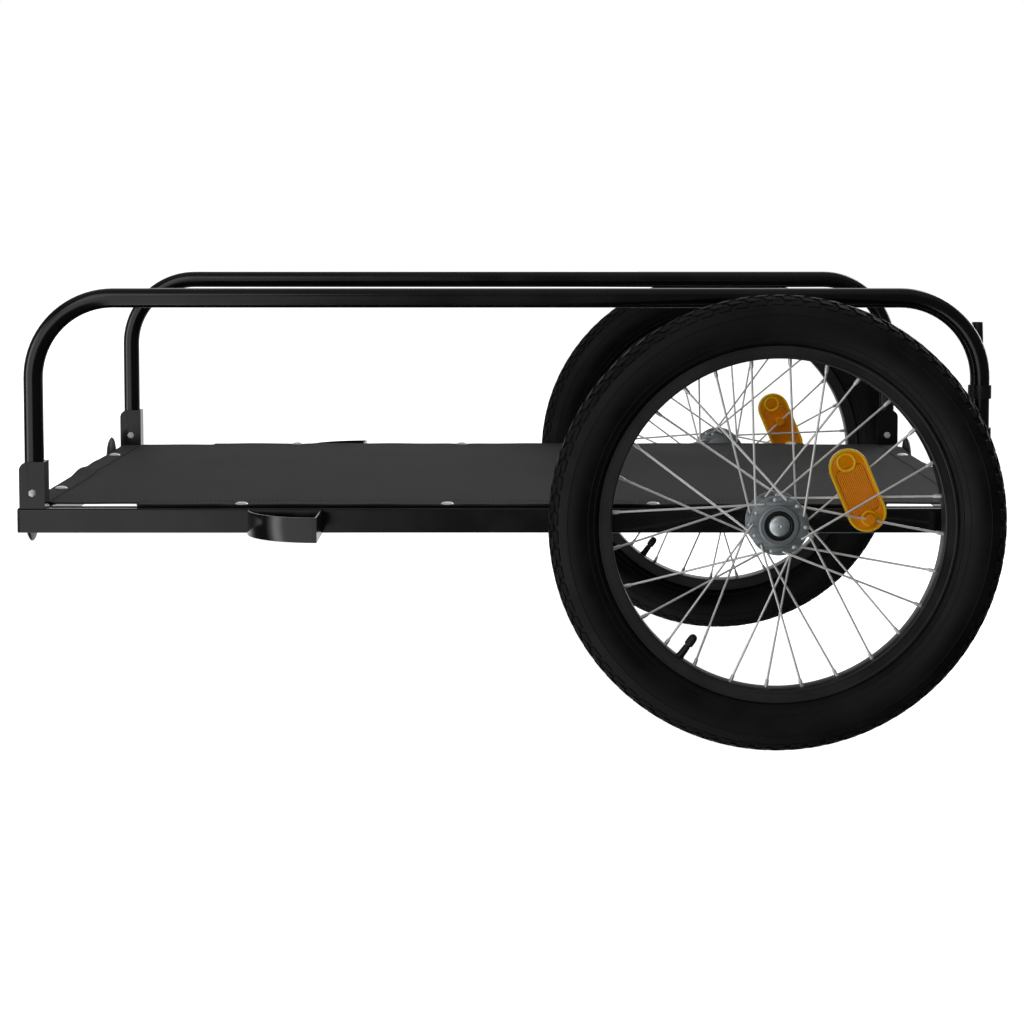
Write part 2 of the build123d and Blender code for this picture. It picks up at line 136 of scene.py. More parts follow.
def wheel_place(side):
    """Leans and places a wheel piece that was made round the origin for the left side."""
    place = LEVEL @ Matrix.Translation((AXLE_X, side * WHEEL_Y, AXLE_Z))
    return place if side < 0 else place @ Matrix.Scale(-1, 4, (0, 1, 0))


# Sizes and colours that a user would change


class FrameSizes(bpy.types.PropertyGroup):
    """Details of the frame's tubes and fittings."""
    corner: FloatProperty(name="Tube corner", description="Outer corner radius of the square tubes",
                          default=0.0024, min=0, unit="LENGTH")
    wall: FloatProperty(name="Tube wall", description="Wall of the tubes", default=0.0015, unit="LENGTH")
    bend: FloatProperty(name="Arch bend", description="Bend radius at the middle of the arch tube",
                        default=0.072, unit="LENGTH")
    weld: FloatProperty(name="Weld width", description="Width of a weld bead", default=0.0042, unit="LENGTH")
    weld_pitch: FloatProperty(name="Weld pitch", description="Distance between two ripples of a weld",
                              default=0.0013, unit="LENGTH")
    bolt_height: FloatProperty(name="Bolt height", description="Arch bolt above the top of the side rail",
                               default=0.014, unit="LENGTH")


class DeckSizes(bpy.types.PropertyGroup):
    """Details of the deck cloth."""
    cell: FloatProperty(name="Cell", description="Size of a cell of the deck's mesh", default=0.0075,
                        unit="LENGTH")
    hem: FloatProperty(name="Hem", description="Width of the folded hem", default=0.024, unit="LENGTH")
    hem_inset: FloatProperty(name="Hem inset", description="How far the hem stands back under the edge",
                             default=0.002, unit="LENGTH")
    thickness: FloatProperty(name="Thickness", description="Thickness of the cloth", default=0.0015,
                             unit="LENGTH")
    lift: FloatProperty(name="Edge lift", description="How far the end edges lift between their rivets",
                        default=0.0026, unit="LENGTH")
    sag: FloatProperty(name="Sag", description="How far the cloth hangs between the crossbars",
                       default=0.0014, unit="LENGTH")
    rivet_radius: FloatProperty(name="Rivet radius", description="Radius of a rivet head", default=0.0058,
                                unit="LENGTH")
    rivet_height: FloatProperty(name="Rivet height", description="Height of a rivet head", default=0.0023,
                                unit="LENGTH")
    side_rivets: IntProperty(name="Side rivets", description="Rivets along each side", default=4, min=2)
    side_pitch: FloatProperty(name="Side pitch", description="Distance between two side rivets",
                              default=0.185, unit="LENGTH")
    side_middle: FloatProperty(name="Side middle",
                               description="Middle of a row of side rivets, from the deck's middle",
                               default=0.0394, unit="LENGTH")
    end_spread: FloatProperty(name="End spread", description="End rivets from the middle plane",
                              default=0.158, unit="LENGTH")
    stitch: FloatProperty(name="Stitch", description="Length of a stitch", default=0.0028, unit="LENGTH")
    stitch_pitch: FloatProperty(name="Stitch pitch", description="Distance between two stitches",
                                default=0.004, unit="LENGTH")


class WheelSizes(bpy.types.PropertyGroup):
    """Details of the wheels."""
    tread_pitches: IntProperty(name="Tread pitches",
                               description="Times the tread pattern repeats round a tyre", default=78, min=12)
    tread_depth: FloatProperty(name="Tread depth", description="Depth of the grooves", default=0.0014,
                               unit="LENGTH")
    groups: IntProperty(name="Spoke groups", description="Groups of four spokes", default=7, min=3)
    phase: FloatProperty(name="First spoke", description="Angle of the first rim hole from the rear",
                         default=radians(22), subtype="ANGLE")
    spoke: FloatProperty(name="Spoke radius", description="Radius of a spoke", default=0.001, unit="LENGTH")
    nipple: FloatProperty(name="Nipple radius", description="Radius of a nipple", default=0.00175,
                          unit="LENGTH")
    nipple_length: FloatProperty(name="Nipple length", description="Length of a nipple", default=0.013,
                                 unit="LENGTH")
    hole_circle: FloatProperty(name="Hole circle", description="Radius of the circle of holes in a flange",
                               default=0.0232, unit="LENGTH")
    flange_spacing: FloatProperty(name="Flange spacing", description="Between the middles of the flanges",
                                  default=0.036, unit="LENGTH")
    flange: FloatProperty(name="Flange thickness", description="Thickness of a hub flange", default=0.002,
                          unit="LENGTH")
    valve_angle: FloatProperty(name="Valve angle", description="Angle of the valve from the rear",
                               default=radians(-125.9), subtype="ANGLE")
    disc_angle: FloatProperty(name="Reflector angle",
                              description="Angle of the spoke reflector from the rear",
                              default=radians(22.9), subtype="ANGLE")
    disc_distance: FloatProperty(name="Reflector distance", description="Spoke reflector from the axle",
                                 default=0.0765, unit="LENGTH")


class Colours(bpy.types.PropertyGroup):
    """Colours of the finishes."""
    paint: FloatVectorProperty(name="Paint", description="Powder coat of the frame", subtype="COLOR",
                               size=3, default=(0.0035, 0.0035, 0.0038))
    cloth: FloatVectorProperty(name="Cloth", description="Deck cloth", subtype="COLOR",
                               size=3, default=(0.030, 0.030, 0.0305))
    rubber: FloatVectorProperty(name="Rubber", description="Tyres", subtype="COLOR",
                                size=3, default=(0.0055, 0.0055, 0.0058))
    zinc: FloatVectorProperty(name="Zinc", description="Hubs, bolts and rivets", subtype="COLOR",
                              size=3, default=(0.37, 0.41, 0.425))
    amber: FloatVectorProperty(name="Amber", description="Spoke reflectors", subtype="COLOR",
                               size=3, default=(0.98, 0.32, 0.0))


# Node helpers


def put(tree, kind, settings=None, **inputs):
    """A node with its settings; each input is linked to a socket or set to a value."""
    node = tree.nodes.new(kind)
    for name, value in (settings or {}).items():
        setattr(node, name, value)
    for name, value in inputs.items():
        join(tree, node.inputs[name.replace("_", " ")], value)
    return node


def join(tree, socket, value):
    """Link a socket to another, or set its value."""
    if isinstance(value, bpy.types.NodeSocket):
        tree.links.new(value, socket)
    else:
        socket.default_value = value


def maths(tree, operation, first, second=0.0, clamp=False):
    """One step of arithmetic in a node tree."""
    node = tree.nodes.new("ShaderNodeMath")
    node.operation = operation
    node.use_clamp = clamp
    join(tree, node.inputs[0], first)
    join(tree, node.inputs[1], second)
    return node.outputs[0]


def blend_colours(tree, factor, first, second):
    """Mix of two colours."""
    node = put(tree, "ShaderNodeMix", {"data_type": "RGBA"})
    join(tree, node.inputs["Factor"], factor)
    join(tree, node.inputs[6], first)
    join(tree, node.inputs[7], second)
    return node.outputs[2]


def ramp(tree, value, low, high, to_low=0.0, to_high=1.0):
    """A smooth step of a value from one range to another."""
    node = put(tree, "ShaderNodeMapRange", {"interpolation_type": "SMOOTHSTEP"}, Value=value)
    for name, number in (("From Min", low), ("From Max", high), ("To Min", to_low), ("To Max", to_high)):
        join(tree, node.inputs[name], number)
    return node.outputs[0]


def once(name):
    """Marks the builder of a node group, which then builds it only the first time it is asked for."""
    def mark(build):
        return lambda: bpy.data.node_groups.get(name) or build(name)
    return mark


def new_group(name, inputs, outputs, kind="ShaderNodeTree"):
    """An empty node group with named sockets, and its input and output nodes."""
    tree = bpy.data.node_groups.new(name, kind)
    for label, socket, value in inputs:
        made = tree.interface.new_socket(label, in_out="INPUT", socket_type="NodeSocket" + socket)
        if value is not None:
            made.default_value = value
    for label, socket in outputs:
        tree.interface.new_socket(label, in_out="OUTPUT", socket_type="NodeSocket" + socket)
    return tree, tree.nodes.new("NodeGroupInput").outputs, tree.nodes.new("NodeGroupOutput").inputs


def colour(rgb):
    """An RGBA value from three numbers."""
    return (rgb[0], rgb[1], rgb[2], 1.0)


def shade(rgb, factor):
    """A colour made darker or lighter."""
    return [min(1, factor * c) for c in rgb]


# Shader groups that several finishes share


@once("Grain")
def grain_group(name):
    """Fine moulded or sprayed grain, with soft mottling over it."""
    tree, given, result = new_group(
        name, [("Vector", "Vector", None), ("Grain Size", "Float", 0.001), ("Patch Size", "Float", 0.05)],
        [("Height", "Float"), ("Patches", "Float")])
    fine_scale = maths(tree, "DIVIDE", 1.0, given["Grain Size"])
    fine = put(tree, "ShaderNodeTexNoise", Vector=given["Vector"], Scale=fine_scale, Detail=2.0,
               Roughness=0.6)
    patch_scale = maths(tree, "DIVIDE", 1.0, given["Patch Size"])
    broad = put(tree, "ShaderNodeTexNoise", Vector=given["Vector"], Scale=patch_scale, Detail=4.0,
                Roughness=0.55)
    tree.links.new(fine.outputs["Fac"], result["Height"])
    tree.links.new(ramp(tree, broad.outputs["Fac"], 0.35, 0.68), result["Patches"])
    return tree


@once("Weave")
def weave_group(name):
    """Plain weave: threads over and under, with uneven yarns. It reads the cloth's own flat coordinates."""
    tree, given, result = new_group(name, [("Vector", "Vector", None), ("Thread", "Float", 0.0009)],
                                    [("Height", "Float"), ("Yarn", "Float")])
    flat = put(tree, "ShaderNodeSeparateXYZ", Vector=given["Vector"])
    waves = []
    for axis in ("X", "Y"):
        turns = maths(tree, "DIVIDE", flat.outputs[axis], given["Thread"])
        waves.append(maths(tree, "SINE", maths(tree, "MULTIPLY", turns, pi)))
    over = maths(tree, "MULTIPLY", waves[0], waves[1])
    warp = maths(tree, "ABSOLUTE", waves[0])
    weft = maths(tree, "ABSOLUTE", waves[1])
    blend = maths(tree, "MULTIPLY_ADD", over, 0.5)
    blend.node.inputs[2].default_value = 0.5
    height = put(tree, "ShaderNodeMix", {"data_type": "FLOAT"})
    for socket, value in ((0, blend), (2, warp), (3, weft)):
        join(tree, height.inputs[socket], value)
    stretched = put(tree, "ShaderNodeMapping", Vector=given["Vector"], Scale=(40.0, 900.0, 1.0))
    uneven = put(tree, "ShaderNodeTexNoise", Vector=stretched.outputs[0], Scale=1.0, Detail=2.0)
    tree.links.new(height.outputs[0], result["Height"])
    tree.links.new(uneven.outputs["Fac"], result["Yarn"])
    return tree


@once("Plating")
def plating_group(name):
    """Spangle and fine scratches of a plated or cast metal."""
    tree, given, result = new_group(name, [("Vector", "Vector", None), ("Spangle", "Float", 0.003)],
                                    [("Height", "Float"), ("Tone", "Float")])
    scale = maths(tree, "DIVIDE", 1.0, given["Spangle"])
    cells = put(tree, "ShaderNodeTexVoronoi", {"feature": "SMOOTH_F1"}, Vector=given["Vector"], Scale=scale)
    cloud = put(tree, "ShaderNodeTexNoise", Vector=given["Vector"], Scale=scale, Detail=5.0, Roughness=0.7)
    tone = maths(tree, "MULTIPLY", cells.outputs["Distance"], 0.5)
    tone = maths(tree, "ADD", tone, maths(tree, "MULTIPLY", cloud.outputs["Fac"], 0.75), clamp=True)
    tree.links.new(cloud.outputs["Fac"], result["Height"])
    tree.links.new(tone, result["Tone"])
    return tree


# Finishes


def use_group(tree, group, **inputs):
    """A shader group placed in a material with its own values."""
    return put(tree, "ShaderNodeGroup", {"node_tree": group}, **inputs).outputs


def new_finish(name, **values):
    """A material with one Principled shader and its constant values."""
    material = bpy.data.materials.new(f"{name}_finish")
    material.use_nodes = True
    tree = material.node_tree
    shader = tree.nodes["Principled BSDF"]
    for label, value in values.items():
        shader.inputs[label.replace("_", " ")].default_value = value
    place = put(tree, "ShaderNodeTexCoord").outputs["Object"]
    return material, tree, shader.inputs, place


def roughen(tree, sockets, height, distance, strength=1.0):
    """Feed a height, in metres at its full value, to the shader's normal."""
    bump = put(tree, "ShaderNodeBump", Height=height, Distance=distance, Strength=strength)
    tree.links.new(bump.outputs["Normal"], sockets["Normal"])


def grained(name, base, light, rough, grain, patch, depth, **values):
    """A finish with fine grain, soft patches of tone and an uneven gloss."""
    material, tree, sockets, place = new_finish(name, **values)
    made = use_group(tree, grain_group(), Vector=place, Grain_Size=grain, Patch_Size=patch)
    tree.links.new(blend_colours(tree, made["Patches"], colour(base), colour(light)), sockets["Base Color"])
    tree.links.new(ramp(tree, made["Patches"], 0.0, 1.0, rough[0], rough[1]), sockets["Roughness"])
    roughen(tree, sockets, made["Height"], depth)
    return material


def plated(name, base, dark, rough, spangle, depth, **values):
    """A metal finish with spangle and an uneven gloss."""
    material, tree, sockets, place = new_finish(name, **{"Metallic": 1.0, **values})
    made = use_group(tree, plating_group(), Vector=place, Spangle=spangle)
    tree.links.new(blend_colours(tree, made["Tone"], colour(dark), colour(base)), sockets["Base Color"])
    tree.links.new(ramp(tree, made["Tone"], 0.2, 0.9, rough[1], rough[0]), sockets["Roughness"])
    roughen(tree, sockets, made["Height"], depth)
    return material


def cloth_finish(name, base, worn):
    """Coated polyester cloth, matt, with its weave and painted shade in the hollows between its threads."""
    material, tree, sockets, _ = new_finish(name, Specular_IOR_Level=0.06, Sheen_Weight=0.02,
                                            Sheen_Roughness=0.6)
    flat = put(tree, "ShaderNodeUVMap", {"uv_map": "Cloth"}).outputs["UV"]
    made = use_group(tree, weave_group(), Vector=flat)
    patches = use_group(tree, grain_group(), Vector=flat, Grain_Size=0.002, Patch_Size=0.11)
    toned = blend_colours(tree, patches["Patches"], colour(base), colour(worn))
    yarn = maths(tree, "MULTIPLY", made["Yarn"], made["Height"])
    # Where the weave lies low the cloth is painted darker: painted shade in the hollows between the threads.
    hollows_shaded = blend_colours(tree, ramp(tree, yarn, 0.05, 0.5), colour(shade(base, 0.55)), toned)
    tree.links.new(hollows_shaded, sockets["Base Color"])
    tree.links.new(ramp(tree, made["Yarn"], 0.2, 0.8, 0.62, 0.78), sockets["Roughness"])
    roughen(tree, sockets, made["Height"], 0.00022)
    return material


def lens_finish(name, base, prism_shade, clear):
    """Clear coloured plastic with tiny prisms behind its face, painted darker in the hollows of the prisms as
    painted shade.
    """
    material, tree, sockets, place = new_finish(name, IOR=1.49, Transmission_Weight=clear, Coat_Weight=0.06,
                                                Coat_Roughness=0.05, Specular_IOR_Level=0.3)
    prisms = put(tree, "ShaderNodeTexVoronoi", {"distance": "CHEBYCHEV"}, Vector=place, Scale=450.0,
                 Randomness=0.15)
    edge = ramp(tree, prisms.outputs["Distance"], 0.15, 0.6)
    # The hollows of the prism pattern take the darker tone: painted shade.
    tree.links.new(blend_colours(tree, edge, colour(prism_shade), colour(base)), sockets["Base Color"])
    tree.links.new(ramp(tree, edge, 0.0, 1.0, 0.28, 0.12), sockets["Roughness"])
    roughen(tree, sockets, prisms.outputs["Distance"], 0.0004)
    return material


def make_finish(name):
    """A finish from the tables below."""
    chosen = bpy.context.scene.trailer_colours
    paint, cloth, rubber, zinc, amber = chosen.paint, chosen.cloth, chosen.rubber, chosen.zinc, chosen.amber
    # Two tones, roughness, then the size of the grain and of the patches, and the grain's depth
    grains = {"frame_paint": (paint, shade(paint, 1.5), (0.17, 0.24), 0.0016, 0.06, 0.00002),
              "rim_paint": (shade(paint, 3.5), shade(paint, 5), (0.36, 0.46), 0.0012, 0.05, 0.00002),
              "tyre_rubber": (rubber, shade(rubber, 1.7), (0.52, 0.68), 0.0009, 0.04, 0.00006),
              "thread": ([0.030] * 3, [0.039] * 3, (0.6, 0.8), 0.0006, 0.02, 0.00005),
              "seal_rubber": ([0.004] * 3, [0.007] * 3, (0.35, 0.5), 0.0006, 0.02, 0.00003),
              "valve_rubber": ([0.006] * 3, [0.011] * 3, (0.4, 0.55), 0.0007, 0.01, 0.00004),
              "cup_plastic": ([0.012] * 3, [0.02] * 3, (0.35, 0.5), 0.0008, 0.03, 0.00004),
              "plug_plastic": ([0.009] * 3, [0.016] * 3, (0.4, 0.55), 0.0008, 0.02, 0.00005), }
    # Light and dark tone, roughness, then the size and the depth of the spangle
    metals = {"spoke_steel": ((0.90, 0.90, 0.89), (0.74, 0.74, 0.74), (0.3, 0.42), 0.004, 0.000004),
              "hub_zinc": (zinc, shade(zinc, 0.72), (0.42, 0.58), 0.0035, 0.00003),
              "axle_steel": (shade(zinc, 2.3), shade(zinc, 0.6), (0.3, 0.5), 0.0045, 0.00004),
              "bolt_zinc": ((0.86, 0.87, 0.87), (0.6, 0.62, 0.62), (0.3, 0.45), 0.003, 0.00002), }
    # Tone, the painted shade in the hollows of the prisms, and how much light goes through
    lenses = {"amber_lens": (amber, shade(amber, 0.7), 0.03),
              # The rim is the same amber plastic as the body, painted a lighter yellow: a painted highlight
              # along the raised rim.
              "amber_rim": ((1.0, 0.66, 0.0), (0.95, 0.50, 0.0), 0.03),
              "white_lens": ((0.88, 0.9, 0.92), (0.62, 0.65, 0.68), 0.35),
              "red_lens": ((0.55, 0.008, 0.006), (0.28, 0.003, 0.003), 0.35), }
    gloss = {"frame_paint": {"Coat_Weight": 0.25, "Coat_Roughness": 0.12},
             "tyre_rubber": {"Specular_IOR_Level": 0.2}, "thread": {"Specular_IOR_Level": 0.15},
             "spoke_steel": {"Metallic": 0.35}, "hub_zinc": {"Metallic": 0.85},
             "axle_steel": {"Metallic": 0.7}, "bolt_zinc": {"Metallic": 0.4}, }.get(name, {})
    if name == "deck_cloth":
        return cloth_finish(name, cloth, shade(cloth, 1.18))
    if name in grains:
        return grained(name, *grains[name], **gloss)
    if name in metals:
        return plated(name, *metals[name], **gloss)
    return lens_finish(name, *lenses[name])


def finish(name):
    """The named finish, made the first time it is asked for."""
    return bpy.data.materials.get(f"{name}_finish") or make_finish(name)


# Mesh helpers


def ring_points(radius, count, start=0.0, sweep=tau):
    """Points on an arc in a plane; a full turn doesn't repeat its first point."""
    steps = count if sweep >= tau else count - 1
    return [(radius * cos(start + sweep * i / steps),
             radius * sin(start + sweep * i / steps)) for i in range(count)]


def skin(bm, rings, capped=True):
    """Join rings of vertices, one after another, and close the first and the last."""
    for here, after in zip(rings, rings[1:]):
        for i in range(len(here)):
            j = (i + 1) % len(here)
            bm.faces.new((here[i], here[j], after[j], after[i]))
    if capped:
        bm.faces.new(rings[0])
        bm.faces.new(rings[-1])


def lathe(bm, outline, steps=96):
    """Turn a closed outline of (radius, y) round the Y axis."""
    rings = []
    for step in range(steps):
        angle = tau * step / steps
        rings.append([bm.verts.new((r * cos(angle), y, r * sin(angle))) for r, y in outline])
    skin(bm, rings + rings[:1], capped=False)
    bmesh.ops.remove_doubles(bm, verts=bm.verts, dist=MERGE)


def sweep(bm, section, places):
    """Join copies of a closed section, each given as a list of points, into one capped bar."""
    skin(bm, [[bm.verts.new(matrix @ Vector(point)) for point in section] for matrix in places])


def bar(bm, radius, start, end, sides=12, end_radius=None):
    """A round bar or cone between two points."""
    start, end = Vector(start), Vector(end)
    turn = (end - start).to_track_quat("Z", "Y").to_matrix().to_4x4()
    rings = []
    for point, r in ((start, radius), (end, radius if end_radius is None else end_radius)):
        rings.append([bm.verts.new(point + turn @ Vector((x, y, 0))) for x, y in ring_points(r, sides)])
    skin(bm, rings)


def rounded_square(half, radius, steps=4):
    """Outline of a square with round corners."""
    points = []
    for quarter in range(4):
        angle = quarter * pi / 2
        corner = Vector((half - radius, half - radius))
        for step in range(steps + 1):
            turn = step * pi / 2 / steps
            x, y = corner.x + radius * cos(turn), corner.y + radius * sin(turn)
            points.append((x * cos(angle) - y * sin(angle), x * sin(angle) + y * cos(angle)))
    return points


def plate(outlines, thickness, edge):
    """A flat plate in the XY plane, from its outline and its holes, with a softened edge."""
    curve = bpy.data.curves.new("plate", "CURVE")
    curve.dimensions = "2D"
    curve.fill_mode = "BOTH"
    curve.extrude = thickness / 2 - edge
    curve.bevel_depth = edge
    curve.bevel_resolution = 1
    curve.offset = -edge
    for outline in outlines:
        spline = curve.splines.new("POLY")
        spline.points.add(len(outline) - 1)
        for point, (x, y) in zip(spline.points, outline):
            point.co = (x, y, 0, 1)
        spline.use_cyclic_u = True
    holder = bpy.data.objects.new("plate", curve)
    mesh = bpy.data.meshes.new_from_object(holder)
    bpy.data.objects.remove(holder)
    bpy.data.curves.remove(curve)
    return mesh


def add_mesh(bm, mesh, matrix=Matrix.Identity(4)):
    """Add a mesh to another, moved by a matrix, and drop it."""
    mesh.transform(matrix)
    bm.from_mesh(mesh)
    bpy.data.meshes.remove(mesh)
    bmesh.ops.remove_doubles(bm, verts=bm.verts, dist=MERGE)


def made_mesh(name, bm, place=LEVEL, sharp=38):
    """A mesh from a bmesh: moved to its place, facing outwards, smooth between its sharp edges."""
    bmesh.ops.transform(bm, matrix=place, verts=bm.verts)
    bmesh.ops.recalc_face_normals(bm, faces=bm.faces)
    mesh = bpy.data.meshes.new(name)
    bm.to_mesh(mesh)
    bm.free()
    mesh.shade_smooth()
    mesh.set_sharp_from_angle(angle=radians(sharp))
    return mesh


def new_object(name, mesh):
    """An object in the scene."""
    made = bpy.data.objects.new(name, mesh)
    bpy.context.scene.collection.objects.link(made)
    return made


def softened(piece, edge, segments=2):
    """Round the sharp edges of a piece and keep only the result."""
    bevel = piece.modifiers.new("edges", "BEVEL")
    bevel.width = edge
    bevel.segments = segments
    bevel.limit_method = "ANGLE"
    bevel.angle_limit = radians(40)
    bevel.harden_normals = True
    return baked(piece)


def baked(piece):
    """Keep the result of a piece's modifiers as its mesh."""
    bpy.context.view_layer.update()
    evaluated = piece.evaluated_get(bpy.context.evaluated_depsgraph_get())
    mesh = bpy.data.meshes.new_from_object(evaluated)
    piece.modifiers.clear()
    old, piece.data = piece.data, mesh
    bpy.data.meshes.remove(old)
    mesh.name = piece.name
    return piece


def add_piece(name, mesh, material, body, nodes=(), edge=0.0):
    """A finished piece that rides on a body and stands for CAD nodes."""
    piece = new_object(name, mesh)
    if edge:
        softened(piece, edge)
    piece.data.materials.clear()
    piece.data.materials.append(finish(material))
    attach(piece, body)
    if nodes:
        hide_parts(*nodes)
    return piece


def refined(node):
    """A copy of a CAD node's mesh with its triangles merged, ready to be softened."""
    bm = bmesh.new()
    bm.from_mesh(frame["nodes"][node].data)
    bmesh.ops.remove_doubles(bm, verts=bm.verts, dist=2e-6)
    bmesh.ops.dissolve_limit(bm, angle_limit=radians(0.5), verts=bm.verts, edges=bm.edges)
    return made_mesh(node, bm, place=Matrix.Identity(4))


# Geometry Nodes


def new_tree(name, inputs):
    """An empty Geometry Nodes tree from geometry to geometry, with its named inputs."""
    return new_group(name, [("Geometry", "Geometry", None), *inputs], [("Geometry", "Geometry")],
                     "GeometryNodeTree")


def close_tree(tree, result, geometry, material):
    """The end of every tree: real geometry with its material."""
    real = put(tree, "GeometryNodeRealizeInstances", Geometry=geometry)
    coated = put(tree, "GeometryNodeSetMaterial", Geometry=real.outputs[0], Material=material)
    tree.links.new(coated.outputs[0], result["Geometry"])


@once("Items on points")
def points_tree(name):
    """Puts a copy of an item on each point, turned at random round its own upright axis."""
    tree, given, result = new_tree(name, [("Item", "Object", None), ("Material", "Material", None),
                                          ("Seed", "Int", 1)])
    points = put(tree, "GeometryNodeMeshToPoints", Mesh=given["Geometry"])
    item = put(tree, "GeometryNodeObjectInfo", Object=given["Item"])
    turn = put(tree, "FunctionNodeRandomValue", {"data_type": "FLOAT"}, Seed=given["Seed"])
    turn.inputs[2].default_value = 0.0
    turn.inputs[3].default_value = tau
    upright = put(tree, "ShaderNodeCombineXYZ", Z=turn.outputs[1])
    copies = put(tree, "GeometryNodeInstanceOnPoints", Points=points.outputs[0],
                 Instance=item.outputs["Geometry"], Rotation=upright.outputs[0])
    close_tree(tree, result, copies.outputs[0], given["Material"])
    return tree


@once("Items round an axle")
def ring_tree(name):
    """Repeats an item round the Y axis."""
    tree, given, result = new_tree(name, [("Item", "Object", None), ("Material", "Material", None),
                                          ("Count", "Int", 12)])
    points = put(tree, "GeometryNodePoints", Count=given["Count"])
    item = put(tree, "GeometryNodeObjectInfo", Object=given["Item"])
    share = maths(tree, "DIVIDE", tree.nodes.new("GeometryNodeInputIndex").outputs[0], given["Count"])
    turn = put(tree, "ShaderNodeCombineXYZ", Y=maths(tree, "MULTIPLY", share, tau))
    copies = put(tree, "GeometryNodeInstanceOnPoints", Points=points.outputs[0],
                 Instance=item.outputs["Geometry"], Rotation=turn.outputs[0])
    close_tree(tree, result, copies.outputs[0], given["Material"])
    return tree


@once("Items along a path")
def path_tree(name):
    """Lays items along a path, one every pitch, each along the path, with a little unevenness."""
    tree, given, result = new_tree(name, [("Item", "Object", None), ("Material", "Material", None),
                                          ("Pitch", "Float", 0.004), ("Unevenness", "Float", 0.06),
                                          ("Seed", "Int", 1)])
    path = put(tree, "GeometryNodeMeshToCurve", Mesh=given["Geometry"])
    points = put(tree, "GeometryNodeCurveToPoints", {"mode": "LENGTH"}, Curve=path.outputs[0],
                 Length=given["Pitch"])
    item = put(tree, "GeometryNodeObjectInfo", Object=given["Item"])
    low = maths(tree, "SUBTRACT", 1.0, given["Unevenness"])
    high = maths(tree, "ADD", 1.0, given["Unevenness"])
    size = put(tree, "FunctionNodeRandomValue", {"data_type": "FLOAT"}, Seed=given["Seed"])
    join(tree, size.inputs[2], low)
    join(tree, size.inputs[3], high)
    copies = put(tree, "GeometryNodeInstanceOnPoints", Points=points.outputs[0],
                 Instance=item.outputs["Geometry"],
                 Rotation=points.outputs["Rotation"], Scale=size.outputs[1])
    close_tree(tree, result, copies.outputs[0], given["Material"])
    return tree


@once("Bent tube")
def arch_tree(name):
    """Bends a path into a round tube: its corners filleted, its section a circle."""
    tree, given, result = new_tree(name, [("Material", "Material", None), ("Bend Radius", "Float", 0.07),
                                          ("Tube Radius", "Float", 0.009), ("Bend Steps", "Int", 20),
                                          ("Sides", "Int", 40)])
    path = put(tree, "GeometryNodeMeshToCurve", Mesh=given["Geometry"])
    bent = put(tree, "GeometryNodeFilletCurve", {"mode": "POLY"}, Curve=path.outputs[0],
               Radius=given["Bend Radius"], Count=given["Bend Steps"])
    circle = put(tree, "GeometryNodeCurvePrimitiveCircle", Resolution=given["Sides"],
                 Radius=given["Tube Radius"])
    tube = put(tree, "GeometryNodeCurveToMesh", Curve=bent.outputs[0], Profile_Curve=circle.outputs[0],
               Fill_Caps=True)
    smooth = put(tree, "GeometryNodeSetShadeSmooth", Geometry=tube.outputs[0])
    close_tree(tree, result, smooth.outputs[0], given["Material"])
    return tree


def grow(tree, base, place, item=None, **values):
    """Run a tree on a mesh and give back the plain mesh, moved to its place."""
    holder = new_object("grown", base)
    helper = None
    if item is not None:
        helper = new_object("item", item)
        values["Item"] = helper
    modifier = holder.modifiers.new("grown", "NODES")
    modifier.node_group = tree
    sockets = {s.name: s.identifier for s in tree.interface.items_tree if s.in_out == "INPUT"}
    for name, value in values.items():
        modifier[sockets[name.replace("_", " ")]] = value
    baked(holder)
    mesh = holder.data
    bpy.data.objects.remove(holder)
    if helper:
        bpy.data.objects.remove(helper)
    mesh.transform(place)
    if place.determinant() < 0:
        mesh.flip_normals()
    return mesh


def points_mesh(places):
    """A mesh of loose points."""
    mesh = bpy.data.meshes.new("points")
    mesh.from_pydata([tuple(p) for p in places], [], [])
    return mesh


def paths_mesh(paths):
    """A mesh of open lines."""
    places, edges = [], []
    for path in paths:
        first = len(places)
        places += [tuple(p) for p in path]
        edges += [(first + i, first + i + 1) for i in range(len(path) - 1)]
    mesh = bpy.data.meshes.new("paths")
    mesh.from_pydata(places, edges, [])
    return mesh


# Frame


def arch_line(side):
    """Corners of an arch's centre line, from foot to foot."""
    leg = ARCH_HIGH.x - ARCH_TUBE / 2
    top = ARCH_HIGH.z - ARCH_TUBE / 2
    y = side * RAIL_Y
    return [(-leg, y, RAIL_TOP), (-leg, y, top), (leg, y, top), (leg, y, RAIL_TOP)]


def square_tube(bm, start, end):
    """A square tube with round corners and a wall, open at both ends, between two points."""
    sizes = bpy.context.scene.trailer_frame
    start, end = Vector(start), Vector(end)
    along = (end - start).normalized()
    across = along.cross(Vector((0, 0, 1)))
    turn = Matrix((across, Vector((0, 0, 1)), along)).transposed().to_4x4()
    rings = []
    outer = rounded_square(TUBE / 2, sizes.corner)
    inner = rounded_square(TUBE / 2 - sizes.wall, sizes.corner - sizes.wall)
    for section, point in ((outer, start), (outer, end), (inner, end), (inner, start)):
        rings.append([bm.verts.new(point + turn @ Vector((x, y, 0))) for x, y in section])
    skin(bm, rings + rings[:1], capped=False)


def weld_item(width):
    """One ripple of a weld bead: a flattened, rounded crescent."""
    bm = bmesh.new()
    bmesh.ops.create_icosphere(bm, subdivisions=2, radius=width / 2)
    bmesh.ops.scale(bm, vec=(0.8, 0.8, 0.55), verts=bm.verts)
    return made_mesh("ripple", bm, Matrix.Identity(4))


